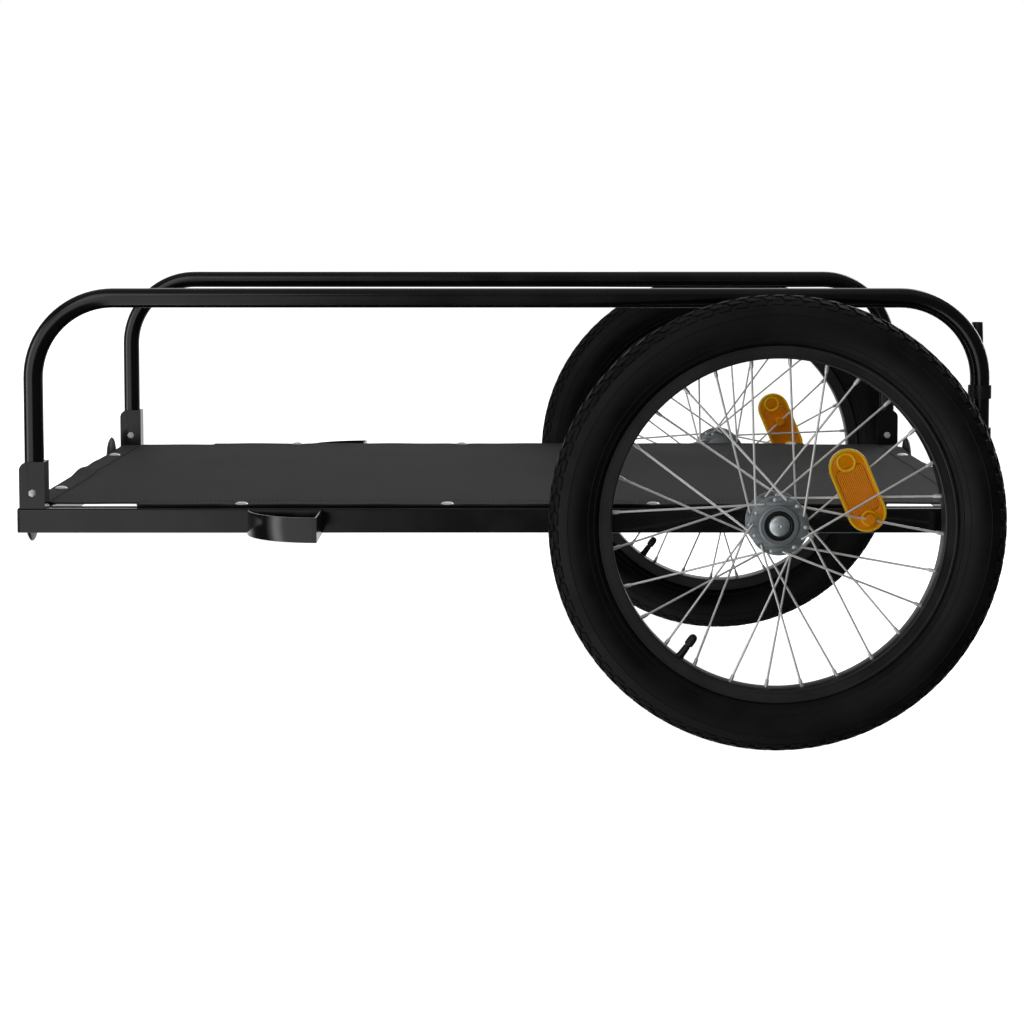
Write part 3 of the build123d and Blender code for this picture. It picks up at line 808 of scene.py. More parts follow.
def weld_lines():
    """The joints of the frame: down both sides of each crossbar's ends, and underneath."""
    corner, sunk = 0.0024, 0.0002
    half = TUBE / 2 - corner
    lines = []
    for node in CROSSBARS:
        x = level_x(node)
        for _, side in SIDES:
            y = side * (RAIL_Y - TUBE / 2 - sunk)
            for edge in (-1, 1):
                lines.append([(x + edge * TUBE / 2, y, -half), (x + edge * TUBE / 2, y, half)])
            lines.append([(x - half, y, -TUBE / 2), (x + half, y, -TUBE / 2)])
    return lines


def guard_outline(low, high, strip):
    """A wheel guard from above, for the right side: a straight leg and a quarter circle back to the rail."""
    radius = high.y - low.y
    steps = 28
    outer = [(radius * sin(t), radius * cos(t)) for t in [i * pi / 2 / steps for i in range(steps + 1)]]
    inner = [(x * (radius - strip) / radius, y * (radius - strip) / radius) for x, y in reversed(outer)]
    quarter = [(-x, y) for x, y in outer] + [(-x, y) for x, y in inner if x > strip]
    corner = [(-strip, radius - strip - 0.0004), (-strip, 0.0), (0.0, 0.0)]
    return quarter + corner


class TRAILER_OT_tubes(bpy.types.Operator):
    """Square tubes of the frame, with round corners"""
    bl_idname = "trailer.tubes"
    bl_label = "Frame tubes"

    def execute(self, context):
        for word, side in SIDES:
            bm = bmesh.new()
            square_tube(bm, (-RAIL_END, side * RAIL_Y, 0), (RAIL_END, side * RAIL_Y, 0))
            add_piece(f"{word}_rail_tube", made_mesh("rail", bm, sharp=50), "frame_paint", "chassis",
                      [f"{word}_side_rail"])
        inner = RAIL_Y - TUBE / 2
        for node in CROSSBARS:
            x = level_x(node)
            bm = bmesh.new()
            square_tube(bm, (x, -inner, 0), (x, inner, 0))
            add_piece(node.replace("crossbar", "cross_tube"), made_mesh(node, bm, sharp=50), "frame_paint",
                      "chassis", [node])
        return {"FINISHED"}


class TRAILER_OT_arches(bpy.types.Operator):
    """Bent tubes of the arched side rails"""
    bl_idname = "trailer.arches"
    bl_label = "Arched rails"

    def execute(self, context):
        sizes = context.scene.trailer_frame
        for word, side in SIDES:
            mesh = grow(arch_tree(), paths_mesh([arch_line(side)]), LEVEL, Material=finish("frame_paint"),
                        Bend_Radius=sizes.bend, Tube_Radius=ARCH_TUBE / 2)
            mesh.set_sharp_from_angle(angle=radians(50))
            add_piece(f"{word}_arch_tube", mesh, "frame_paint", "chassis", [f"{word}_arch_rail"])
        return {"FINISHED"}


class TRAILER_OT_brackets(bpy.types.Operator):
    """Folded brackets round the feet of the arches, with their bolts"""
    bl_idname = "trailer.brackets"
    bl_label = "Arch brackets"

    def execute(self, context):
        sizes = context.scene.trailer_frame
        for end_word, _ in ENDS:
            for word, _ in SIDES:
                node = f"{end_word}_{word}_bracket"
                add_piece(f"{node}_fold", refined(node), "frame_paint", "chassis", [node], edge=0.00055)
        leg = ARCH_HIGH.x - ARCH_TUBE / 2
        half = BRACKET_WIDTH / 2
        bm = bmesh.new()
        for _, end in ENDS:
            for _, side in SIDES:
                place = Matrix.Translation((end * leg, side * RAIL_Y, RAIL_TOP + sizes.bolt_height))
                place = place @ Matrix.Rotation(-side * pi / 2, 4, "X")
                self.bolt(bm, place, half)
        add_piece("arch_bolt_set", made_mesh("bolts", bm), "bolt_zinc", "chassis", ["arch_bolts"])
        return {"FINISHED"}

    def bolt(self, bm, place, half):
        """One bolt along Z: a domed six-sided head outside, the shank, and a locking nut inside."""
        flats, head, nut = 0.0036, 0.0021, 0.003
        first = len(bm.verts)
        steps = ((half, 1.0), (half + 0.6 * head, 1.0), (half + 0.9 * head, 0.82), (half + head, 0.5))
        corners = ring_points(1, 6, pi / 6)
        rings = [[bm.verts.new((r * flats * x, r * flats * y, z)) for x, y in corners] for z, r in steps]
        skin(bm, rings)
        bar(bm, 0.002, (0, 0, -half - nut), (0, 0, half), 16)
        bar(bm, 0.0037, (0, 0, -half - 0.7 * nut), (0, 0, -half), 6)
        bar(bm, 0.0028, (0, 0, -half - 0.95 * nut), (0, 0, -half - 0.7 * nut), 18)
        bm.verts.ensure_lookup_table()
        bmesh.ops.transform(bm, matrix=place, verts=bm.verts[first:])


class TRAILER_OT_guards(bpy.types.Operator):
    """Bent strips ahead of the wheels"""
    bl_idname = "trailer.guards"
    bl_label = "Wheel guards"

    def execute(self, context):
        for word, side in SIDES:
            low, high = level_box(f"{word}_wheel_guard")
            strip = 0.0018
            mesh = plate([guard_outline(low, high, strip)], high.z - low.z, 0.0004)
            bm = bmesh.new()
            place = Matrix.Translation((high.x, side * (RAIL_Y + TUBE / 2), (low.z + high.z) / 2))
            add_mesh(bm, mesh, place @ Matrix.Scale(side, 4, (0, 1, 0)))
            add_piece(f"{word}_guard_strip", made_mesh("guard", bm), "frame_paint", "chassis",
                      [f"{word}_wheel_guard"])
        return {"FINISHED"}


class TRAILER_OT_welds(bpy.types.Operator):
    """Weld beads at the joints of the frame"""
    bl_idname = "trailer.welds"
    bl_label = "Welds"

    def execute(self, context):
        sizes = context.scene.trailer_frame
        mesh = grow(path_tree(), paths_mesh(weld_lines()), LEVEL, weld_item(sizes.weld),
                    Material=finish("frame_paint"), Pitch=sizes.weld_pitch, Unevenness=0.1, Seed=4)
        add_piece("weld_beads", mesh, "frame_paint", "chassis")
        return {"FINISHED"}


class TRAILER_OT_fittings(bpy.types.Operator):
    """Plugs in the rails, the flag holder and the round reflectors on the end crossbars"""
    bl_idname = "trailer.fittings"
    bl_label = "Fittings"

    def execute(self, context):
        add_piece("rail_plug_caps", refined("rail_end_plugs"), "plug_plastic", "chassis", ["rail_end_plugs"],
                  edge=0.0005)
        add_piece("flag_holder_tube", refined("flag_holder"), "cup_plastic", "chassis", ["flag_holder"],
                  edge=0.0004)
        for word, end in ENDS:
            high = level_box(f"{word}_reflector_cups")[1]
            cup = bmesh.new()
            lens = bmesh.new()
            for _, side in SIDES:
                self.reflector(cup, lens, end, side, high.z, high.y - high.z)
            add_piece(f"{word}_reflector_shells", made_mesh("cups", cup), "cup_plastic", "chassis",
                      [f"{word}_reflector_cups"])
            add_piece(f"{word}_reflector_faces", made_mesh("lenses", lens),
                      "white_lens" if end < 0 else "red_lens", "chassis", [f"{word}_reflector_lenses"])
        return {"FINISHED"}

    def reflector(self, cup, lens, end, side, radius, y):
        """A round cup with a rolled rim, and a domed lens with a ring of ribs in it."""
        depth, face = 0.003, 0.0055
        lens_radius = radius - 0.0024
        turn = Matrix.Translation((end * RAIL_END, side * y, 0)) @ Matrix.Rotation(-end * pi / 2, 4, "Z")
        shell = [(0.0, 0.0), (radius - 0.004, 0.0), (radius - 0.001, 0.0006), (radius, 0.0018),
                 (radius, depth - 0.0006), (radius - 0.0007, depth), (lens_radius + 0.0004, depth),
                 (lens_radius + 0.0004, depth - 0.001), (0.0, depth - 0.001)]
        made = bmesh.new()
        lathe(made, shell, 72)
        add_mesh(cup, made_mesh("cup", made, turn))
        count, dome = 11, 0.0012
        ribs = [(lens_radius - 0.0006 - 0.0022 * i,
                 face - dome + dome * (i / count) ** 0.5 - 0.0003 * (i % 2))
                for i in range(count)]
        outline = [(0.0, depth - 0.0009), (lens_radius, depth - 0.0009), (lens_radius, face - 0.0016)] + ribs
        outline.append((0.0, face))
        made = bmesh.new()
        lathe(made, outline, 72)
        add_mesh(lens, made_mesh("lens", made, turn))


# Deck


def rivet_places():
    """Where the rivets stand, on the deck's flat plan."""
    sizes = bpy.context.scene.trailer_deck
    first = sizes.side_middle - sizes.side_pitch * (sizes.side_rivets - 1) / 2
    places = []
    for _, side in SIDES:
        places += [(first + i * sizes.side_pitch, side * RAIL_Y) for i in range(sizes.side_rivets)]
        places += [(end * (RAIL_END - TUBE / 2 - 0.0015), side * sizes.end_spread) for _, end in ENDS]
    return places


def bump_at(value, centre, width):
    """A smooth bump of height one."""
    share = (value - centre) / width
    return (1 - share * share) ** 2 if abs(share) < 1 else 0.0


def deck_height(x, y):
    """Height of the cloth over its flat plane: it hangs between the crossbars and lifts at its end edges."""
    sizes = bpy.context.scene.trailer_deck
    across = max(0.0, 1 - (y / (RAIL_Y - TUBE / 2)) ** 2)
    bars = [-RAIL_END, level_x("middle_crossbar"), AXLE_X, RAIL_END]
    height = 0.0
    for start, end in zip(bars, bars[1:]):
        if start < x < end:
            height -= sizes.sag * across * sin(pi * (x - start) / (end - start)) ** 2
    for edge, centres in ((-1, ((-0.006, 0.05, 1.0), (0.075, 0.045, 0.25), (-0.215, 0.04, 0.35))),
                          (1, ((0.03, 0.06, 0.6), (0.215, 0.045, 0.9), (-0.1, 0.05, 0.4)))):
        near = bump_at(x, edge * RAIL_END, 0.05)
        height += near * sizes.lift * sum(h * bump_at(y, c, w) for c, w, h in centres)
    side_edge = bump_at(abs(y), DECK_HIGH.y, 0.03)
    height += side_edge * 0.00035 * sin(x * 41.0 + (0.7 if y > 0 else 0.0)) ** 2
    height += across * 0.0004 * sin(x * 13.0 + 1.3) * sin(y * 17.0 + 0.4)
    for rivet_x, rivet_y in rivet_places():
        away = sqrt((x - rivet_x) ** 2 + (y - rivet_y) ** 2)
        height *= 1 - bump_at(away, 0, 0.03)
        height -= 0.0004 * bump_at(away, 0, 0.016)
    return height


def breaks(edges, cell):
    """Coordinates that divide the stretches between some edges into cells."""
    found = []
    for start, end in zip(edges, edges[1:]):
        count = max(1, round((end - start) / cell))
        found += [start + (end - start) * i / count for i in range(count)]
    return found + [edges[-1]]


def cloth_grid(xs, ys, inside, height, bottom):
    """A sheet of cells over two lists of coordinates, where the test allows, with a flat UV map in metres."""
    bm = bmesh.new()
    grid = {}

    def corner(i, j):
        if (i, j) not in grid:
            grid[i, j] = bm.verts.new((xs[i], ys[j], bottom + height(xs[i], ys[j])))
        return grid[i, j]

    for i in range(len(xs) - 1):
        for j in range(len(ys) - 1):
            if inside((xs[i] + xs[i + 1]) / 2, (ys[j] + ys[j + 1]) / 2):
                bm.faces.new((corner(i, j), corner(i + 1, j), corner(i + 1, j + 1), corner(i, j + 1)))
    cloth = bm.loops.layers.uv.new("Cloth")
    for face in bm.faces:
        for loop in face.loops:
            loop[cloth].uv = loop.vert.co.xy
    return bm


class TRAILER_OT_deck(bpy.types.Operator):
    """Deck cloth with its folded hem and seam"""
    bl_idname = "trailer.deck"
    bl_label = "Deck cloth"

    def execute(self, context):
        sizes = context.scene.trailer_deck
        end_x, end_y = DECK_HIGH.x, DECK_HIGH.y
        notch_x = RAIL_END - BRACKET_LENGTH - NOTCH_GAP
        notch_y = RAIL_Y - BRACKET_WIDTH / 2 - NOTCH_GAP
        open_x = RAIL_END - BRACKET_LENGTH - OPEN_CORNER
        hem_x, hem_y = end_x - sizes.hem, end_y - sizes.hem
        set_back = RAIL_Y - TUBE / 2 + 0.003
        inset = sizes.hem_inset
        along = sorted([end_x, end_x - inset, notch_x, hem_x, open_x])
        across = sorted([end_y, end_y - inset, notch_y, hem_y, set_back])
        xs = breaks([-x for x in reversed(along)] + along, sizes.cell)
        ys = breaks([-y for y in reversed(across)] + across, sizes.cell)
        top = DECK_HIGH.z - sizes.thickness

        def on_deck(x, y):
            return not (abs(x) > notch_x and abs(y) > notch_y) and not (abs(x) > open_x and abs(y) > set_back)

        def on_hem(x, y):
            within = abs(x) < end_x - inset and abs(y) < end_y - inset
            edge = abs(x) > hem_x or abs(y) > hem_y
            return on_deck(x, y) and within and edge and not (abs(x) > open_x and abs(y) > hem_y - 0.001)

        def hem_height(x, y):
            return 0.45 * max(0.0, deck_height(x, y))

        sheet = self.layer("deck_cloth_sheet", cloth_grid(xs, ys, on_deck, deck_height, top), sizes.thickness,
                           0.0005)
        hem = self.layer("deck_hem_fold", cloth_grid(xs, ys, on_hem, hem_height, RAIL_TOP + 0.00005),
                         top - RAIL_TOP - 0.00025, 0.0004)
        stitches = self.seam(hem_x, hem_y, open_x, top + sizes.thickness)
        for piece in (sheet, hem, stitches):
            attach(piece, "chassis")
        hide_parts("deck_sheet")
        return {"FINISHED"}

    def layer(self, name, bm, thickness, edge):
        """A sheet given its thickness upwards and soft edges, placed on the leaning frame."""
        mesh = bpy.data.meshes.new(name)
        bm.to_mesh(mesh)
        bm.free()
        piece = new_object(name, mesh)
        solid = piece.modifiers.new("thickness", "SOLIDIFY")
        solid.thickness = thickness
        solid.offset = 1.0
        solid.use_even_offset = True
        baked(piece)
        softened(piece, edge, 2)
        piece.data.transform(LEVEL)
        piece.data.shade_smooth()
        piece.data.set_sharp_from_angle(angle=radians(50))
        piece.data.materials.append(finish("deck_cloth"))
        return piece

    def seam(self, hem_x, hem_y, open_x, top):
        """The stitches that hold the hem, a little inside its inner edge."""
        sizes = bpy.context.scene.trailer_deck
        bm = bmesh.new()
        section = [(0.0, y, z) for y, z in ring_points(0.0002, 6)]
        steps = [i / 4 for i in range(5)]
        places = [Matrix.Translation(((s - 0.5) * sizes.stitch, 0,
                                      0.00018 * sin(pi * s) - 0.00012)) for s in steps]
        sweep(bm, section, places)
        item = made_mesh("stitch", bm, Matrix.Rotation(pi / 2, 4, "Z") @ Matrix.Rotation(pi / 2, 4, "X"))
        inset, side_steps, end_steps = 0.003, 60, 50
        lines = []
        for _, side in SIDES:
            y = side * (hem_y + inset)
            xs = [-open_x + 2 * open_x * i / side_steps for i in range(side_steps + 1)]
            lines.append([(x, y, top + deck_height(x, y)) for x in xs])
        for _, end in ENDS:
            x = end * (hem_x + inset)
            ys = [-hem_y + 2 * hem_y * i / end_steps for i in range(end_steps + 1)]
            lines.append([(x, y, top + deck_height(x, y)) for y in ys])
        mesh = grow(path_tree(), paths_mesh(lines), LEVEL, item, Material=finish("thread"),
                    Pitch=sizes.stitch_pitch, Unevenness=0.05, Seed=7)
        return new_object("deck_seam_stitches", mesh)


class TRAILER_OT_rivets(bpy.types.Operator):
    """Rivets that hold the deck to the frame"""
    bl_idname = "trailer.rivets"
    bl_label = "Deck rivets"

    def execute(self, context):
        sizes = context.scene.trailer_deck
        radius, height = sizes.rivet_radius, sizes.rivet_height
        outline = [(0.0, 0.0), (radius * 0.96, 0.0), (radius, 0.0003)]
        dome = [(radius * cos(t), 0.0003 + (height - 0.0003) * sin(t)) for t in (0.35, 0.7, 1.0, 1.25, 1.38)]
        outline += dome + [(0.00105, height - 0.0001), (0.0009, height - 0.0008), (0.0, height - 0.0008)]
        bm = bmesh.new()
        lathe(bm, outline, 24)
        item = made_mesh("rivet", bm, Matrix.Rotation(pi / 2, 4, "X"))
        places = [(x, y, DECK_HIGH.z + deck_height(x, y) - 0.0001) for x, y in rivet_places()]
        mesh = grow(points_tree(), points_mesh(places), LEVEL, item, Material=finish("bolt_zinc"), Seed=3)
        mesh.set_sharp_from_angle(angle=radians(40))
        add_piece("deck_rivets", mesh, "bolt_zinc", "chassis")
        return {"FINISHED"}


# Wheels, made round the origin for the left side, where the outside is towards -Y


def section_point(angle, radius, turn=0.0):
    """A point of the tyre's round section: angle from the crown, and turn round the wheel."""
    from_axle = TYRE_RADIUS - TYRE_WIDTH / 2 + radius * cos(angle)
    return (from_axle * cos(turn), radius * sin(angle), from_axle * sin(turn))


def tyre_outline():
    """Section of the tyre: carcass under the tread, shoulders, ribbed sidewalls, beads and inner wall."""
    depth = bpy.context.scene.trailer_wheels.tread_depth
    steps = [(50, depth), (51, 0.0003), (54, 0.0002), (56, 0.0004), (64, 0.0005), (70, 0.0005),
             (70.6, 0.0001), (73, 0.0001), (73.6, 0.0005), (82, 0.0005), (92, 0.0004), (102, 0.0004),
             (112, 0.0005), (119, 0.0006), (119.6, 0.0003), (121.5, 0.0003), (122, 0.0006), (130, 0.0006),
             (135, 0.0005), (136, 0.0), (142, 0.0), (143, 0.0007), (149, 0.0005)]
    crown = [(angle, depth) for angle in range(0, 50, 5)]
    half = TYRE_WIDTH / 2
    outside = [(radians(angle), half - drop) for angle, drop in crown + steps]
    inside = [(radians(angle), half - 0.0034) for angle in range(138, -1, -12)]
    bead_radius = RIM_RADIUS - 0.0055
    side = [(section_point(a, r)[0], section_point(a, r)[1]) for a, r in outside]
    bead = [(RIM_RADIUS + 0.0003, 0.0105), (RIM_RADIUS - 0.001, 0.0101), (bead_radius, 0.0097),
            (bead_radius - 0.0011, 0.0085), (bead_radius - 0.0008, 0.007), (bead_radius + 0.002, 0.0066)]
    wall = [(section_point(a, r)[0], section_point(a, r)[1]) for a, r in inside]
    half_outline = side + bead + wall
    other = [(r, -y) for r, y in reversed(half_outline)]
    return half_outline[:-1] + other[:-1]


def tread_block(bm, turn, width, angle, span, skew):
    """One block of the tread with chamfered edges, hugging the crown of the tyre."""
    sizes = bpy.context.scene.trailer_wheels
    half = TYRE_WIDTH / 2
    rings = []
    for radius, grow_by in ((half - sizes.tread_depth - 0.0003, 1.0), (half - 0.0004, 1.0), (half, 0.86)):
        ring = []
        for along, across in ((-1, -1), (1, -1), (1, 1), (-1, 1)):
            at = turn + grow_by * along * width / 2 + across * skew / 2
            ring.append(bm.verts.new(section_point(angle + grow_by * across * span / 2, radius, at)))
        rings.append(ring)
    skin(bm, rings)


def tread_item():
    """One pitch of the tread: three rows of blocks to each side, staggered."""
    pitch = tau / bpy.context.scene.trailer_wheels.tread_pitches
    bm = bmesh.new()
    rows = ((9.5, 14, 0.0, 0.3), (26.5, 14, 0.5, -0.2), (42.5, 13, 0.1, 0.1))
    for side in (-1, 1):
        stagger = 0.0 if side > 0 else pitch / 2
        for angle, span, shift, skew in rows:
            tread_block(bm, stagger + shift * pitch, 0.66 * pitch, side * radians(angle), radians(span),
                        side * skew * pitch)
    return made_mesh("tread", bm, Matrix.Identity(4))


def rim_outline():
    """Section of the rim: two lips, side walls with a shallow track, and the bed towards the hub."""
    lip, bed, half = RIM_RADIUS, RIM_BED, RIM_WIDTH / 2
    side = [(bed, half - 0.0016), (bed + 0.0004, half - 0.0005), (bed + 0.0012, half), (bed + 0.0028, half),
            (bed + 0.0031, half - 0.00025), (lip - 0.0027, half - 0.00025), (lip - 0.0024, half),
            (lip - 0.0007, half), (lip - 0.0001, half - 0.0005), (lip, half - 0.0009),
            (lip - 0.0005, half - 0.0014), (lip - 0.0062, half - 0.0015), (lip - 0.007, half - 0.0022),
            (lip - 0.007, 0.004), (lip - 0.0078, 0.0)]
    other = [(r, -y) for r, y in reversed(side)]
    return side[:-1] + other + [(bed, 0.0)]


def spoke_route(number):
    """Hub end, rim end and flange of one spoke. Every other spoke is laced to the other flange."""
    sizes = bpy.context.scene.trailer_wheels
    pitch = tau / (4 * sizes.groups)
    kind = number % 4
    near = 1 if kind in (0, 2) else -1
    turn = -1 if kind in (0, 3) else 1
    rim_angle = sizes.phase - number * pitch
    hub_angle = rim_angle + turn * 4 * pitch
    lift = 0.0013 if turn < 0 else 0.00015
    out = (1 if turn < 0 else -1) * (sizes.flange / 2 + sizes.spoke + lift)
    flange_y = HUB_MIDDLE - near * sizes.flange_spacing / 2
    rim_radius = RIM_BED + 0.0058
    hole = sizes.hole_circle
    hub_end = Vector((hole * cos(hub_angle), flange_y - near * out, hole * sin(hub_angle)))
    rim_end = Vector((rim_radius * cos(rim_angle), -near * 0.002, rim_radius * sin(rim_angle)))
    return hub_end, rim_end, flange_y


def wire(bm, points, radii, sides=10):
    """A round wire through some points, with a radius at each."""
    rings = []
    normal = Vector((0.3, 0.9, 0.2))
    for i, point in enumerate(points):
        along = (points[min(i + 1, len(points) - 1)] - points[max(i - 1, 0)]).normalized()
        normal = (normal - along * normal.dot(along)).normalized()
        across = along.cross(normal)
        rings.append([bm.verts.new(point + x * normal + y * across) for x, y in ring_points(radii[i], sides)])
    skin(bm, rings)


def add_spoke(bm, number):
    """One spoke: a domed head at the flange, a bent elbow, the wire, and its nipple at the rim."""
    sizes = bpy.context.scene.trailer_wheels
    hub_end, rim_end, flange_y = spoke_route(number)
    along = (rim_end - hub_end).normalized()
    inward = Vector((0, 1 if flange_y > hub_end.y else -1, 0))
    face = Vector((hub_end.x, flange_y, hub_end.z)) + inward * (sizes.flange / 2 + 0.00015)
    head = [face + inward * d for d in (0.001, 0.0008, 0.0002, 0.0)]
    bend = [hub_end + inward * a + along * b
            for a, b in ((0.0012, 0.0), (0.0006, 0.0002), (0.0002, 0.0008), (0.0, 0.0016))]
    r = sizes.spoke
    wire(bm, head + bend + [rim_end - along * 0.004], [0.0009, 0.0015, 0.0018, r] + [r] * 5)
    reach = sizes.nipple_length
    steps = (0.0, reach * 0.72, reach * 0.9, reach)
    neck = [sizes.nipple, sizes.nipple, sizes.nipple * 0.93, r * 1.15]
    wire(bm, [rim_end - along * d for d in steps], neck, 12)


def hub_outline():
    """Section of the hub shell: recess, face with a groove, bosses, and the waisted barrel."""
    half, bore, boss, recess = HUB_LENGTH / 2, 0.0063, 0.018, 0.0132
    floor = half - 0.0025
    outer = [(bore, floor), (recess, floor), (recess, half - 0.0003), (recess + 0.0003, half),
             (recess + 0.0013, half), (recess + 0.0016, half - 0.0005), (recess + 0.0023, half - 0.0005),
             (recess + 0.0026, half), (boss - 0.0008, half), (boss - 0.0002, half - 0.0003),
             (boss, half - 0.0009),
             (boss, half - 0.0048), (0.0149, half - 0.0054), (0.0139, half - 0.0068), (0.013, half - 0.012)]
    near = [(r, HUB_MIDDLE - y) for r, y in outer]
    far = [(r, HUB_MIDDLE + y) for r, y in reversed(outer[8:])]
    return near + [(0.0127, HUB_MIDDLE)] + far + [(bore, HUB_MIDDLE + half)]


def flange_plate(near):
    """A hub flange with its ring of spoke holes, ready to stand upright round the axle."""
    sizes = bpy.context.scene.trailer_wheels
    pitch = tau / (4 * sizes.groups)
    start = sizes.phase + (0 if near > 0 else pitch)
    outlines = [ring_points(FLANGE_RADIUS, 96), ring_points(0.0135, 64)]
    for k in range(2 * sizes.groups):
        angle = start + 2 * k * pitch
        x, y = sizes.hole_circle * cos(angle), sizes.hole_circle * sin(angle)
        outlines.append([(x + dx, y + dy) for dx, dy in ring_points(0.0013, 12)])
    return plate(outlines, sizes.flange, 0.0003)


def radial(angle):
    """Turns the Y axis to point out from the axle at an angle."""
    return Matrix.Rotation(-angle, 4, "Y") @ Matrix.Rotation(-pi / 2, 4, "Z")


def slot_outline(length, width, steps=20):
    """Outline of a bar with two round ends."""
    radius, reach = width / 2, (length - width) / 2
    right = [(reach + x, y) for x, y in ring_points(radius, steps, -pi / 2, pi)]
    left = [(-reach + x, y) for x, y in ring_points(radius, steps, pi / 2, pi)]
    return right + left


def rounded_rectangle(length, width, radius, steps=6):
    """Outline of a rectangle with round corners."""
    outline = []
    for sx, sy, start in ((1, 1, 0.0), (-1, 1, pi / 2), (-1, -1, pi), (1, -1, 1.5 * pi)):
        arc = ring_points(radius, steps, start, pi / 2)
        outline += [(sx * (length / 2 - radius) + x, sy * (width / 2 - radius) + y) for x, y in arc]
    return outline


class TRAILER_OT_tyres(bpy.types.Operator):
    """Tyres with ribbed sidewalls and blocks of tread"""
    bl_idname = "trailer.tyres"
    bl_label = "Tyres"

    def execute(self, context):
        sizes = context.scene.trailer_wheels
        for word, side in SIDES:
            bm = bmesh.new()
            lathe(bm, tyre_outline(), 144)
            add_piece(f"{word}_tyre_carcass", made_mesh("tyre", bm, wheel_place(side), 30), "tyre_rubber",
                      f"{word}_wheel", [f"{word}_tyre"])
            empty = points_mesh([(0, 0, 0)])
            mesh = grow(ring_tree(), empty, wheel_place(side), tread_item(), Material=finish("tyre_rubber"),
                        Count=sizes.tread_pitches)
            mesh.set_sharp_from_angle(angle=radians(20))
            add_piece(f"{word}_tyre_tread", mesh, "tyre_rubber", f"{word}_wheel")
        return {"FINISHED"}


class TRAILER_OT_rims(bpy.types.Operator):
    """Rims with lips and a shallow track in their side walls"""
    bl_idname = "trailer.rims"
    bl_label = "Rims"

    def execute(self, context):
        for word, side in SIDES:
            bm = bmesh.new()
            lathe(bm, rim_outline(), 160)
            add_piece(f"{word}_rim_hoop", made_mesh("rim", bm, wheel_place(side), 30), "rim_paint",
                      f"{word}_wheel", [f"{word}_rim"])
        return {"FINISHED"}


class TRAILER_OT_spokes(bpy.types.Operator):
    """Spokes with heads, elbows and nipples, in crossed groups of four"""
    bl_idname = "trailer.spokes"
    bl_label = "Spokes"

    def execute(self, context):
        sizes = context.scene.trailer_wheels
        for word, side in SIDES:
            bm = bmesh.new()
            for number in range(4):
                add_spoke(bm, number)
            item = made_mesh("spokes", bm, Matrix.Identity(4))
            mesh = grow(ring_tree(), points_mesh([(0, 0, 0)]), wheel_place(side), item,
                        Material=finish("spoke_steel"), Count=sizes.groups)
            mesh.set_sharp_from_angle(angle=radians(45))
            add_piece(f"{word}_spoke_set", mesh, "spoke_steel", f"{word}_wheel", [f"{word}_spokes"])
        return {"FINISHED"}


class TRAILER_OT_hubs(bpy.types.Operator):
    """Hub shells with drilled flanges, their seals, and the stub axles"""
    bl_idname = "trailer.hubs"
    bl_label = "Hubs and axles"

    def execute(self, context):
        sizes = context.scene.trailer_wheels
        for word, side in SIDES:
            bm = bmesh.new()
            lathe(bm, hub_outline(), 96)
            for near in (1, -1):
                place = Matrix.Translation((0, HUB_MIDDLE - near * sizes.flange_spacing / 2, 0))
                add_mesh(bm, flange_plate(near), place @ Matrix.Rotation(pi / 2, 4, "X"))
            add_piece(f"{word}_hub_shell", made_mesh("hub", bm, wheel_place(side), 30), "hub_zinc",
                      f"{word}_wheel", [f"{word}_hub"])
            self.seal(word, side)
            self.axle(word, side)
        return {"FINISHED"}

    def seal(self, word, side):
        """A rubber ring with a raised lip, in the recess of the hub."""
        face = HUB_MIDDLE - HUB_LENGTH / 2 + 0.0005
        outline = [(0.0131, face + 0.002), (0.0131, face + 0.0004), (0.0127, face), (0.0119, face),
                   (0.0115, face + 0.0006), (0.0103, face + 0.0008), (0.0098, face + 0.0002),
                   (0.0072, face + 0.0002), (0.0061, face + 0.0006), (0.0061, face + 0.002)]
        bm = bmesh.new()
        lathe(bm, outline, 72)
        add_piece(f"{word}_seal_ring", made_mesh("seal", bm, wheel_place(side), 30), "seal_rubber",
                  f"{word}_wheel", [f"{word}_hub_seal"])

    def axle(self, word, side):
        """A stub axle: domed button, shaft, collar against the rail, and a six-sided nut behind it."""
        low, high = level_box("left_axle")
        outer, inner = low.y + WHEEL_Y, high.y + WHEEL_Y
        rail = WHEEL_Y - RAIL_Y - TUBE / 2
        cap, r = 0.004, 0.0092
        outline = [(0.0, outer + 0.0004), (0.0007, outer + 0.0004), (0.0012, outer), (0.004, outer + 0.0001),
                   (0.0066, outer + 0.0005), (0.0082, outer + 0.0011), (0.009, outer + 0.002),
                   (r, outer + 0.003), (r, outer + cap), (0.006, outer + cap), (0.006, rail - 0.004),
                   (0.0108, rail - 0.004), (0.011, rail - 0.0037), (0.011, rail), (0.006, rail),
                   (0.006, inner - 0.0004), (0.0, inner)]
        bm = bmesh.new()
        lathe(bm, outline, 64)
        nut_at = rail + TUBE
        bar(bm, 0.0075, (0, nut_at, 0), (0, nut_at + 0.0044, 0), 6)
        bar(bm, 0.0062, (0, nut_at + 0.0044, 0), (0, nut_at + 0.0056, 0), 24, 0.0056)
        add_piece(f"{word}_stub_axle", made_mesh("axle", bm, wheel_place(side), 35), "axle_steel", "chassis",
                  [f"{word}_axle"])


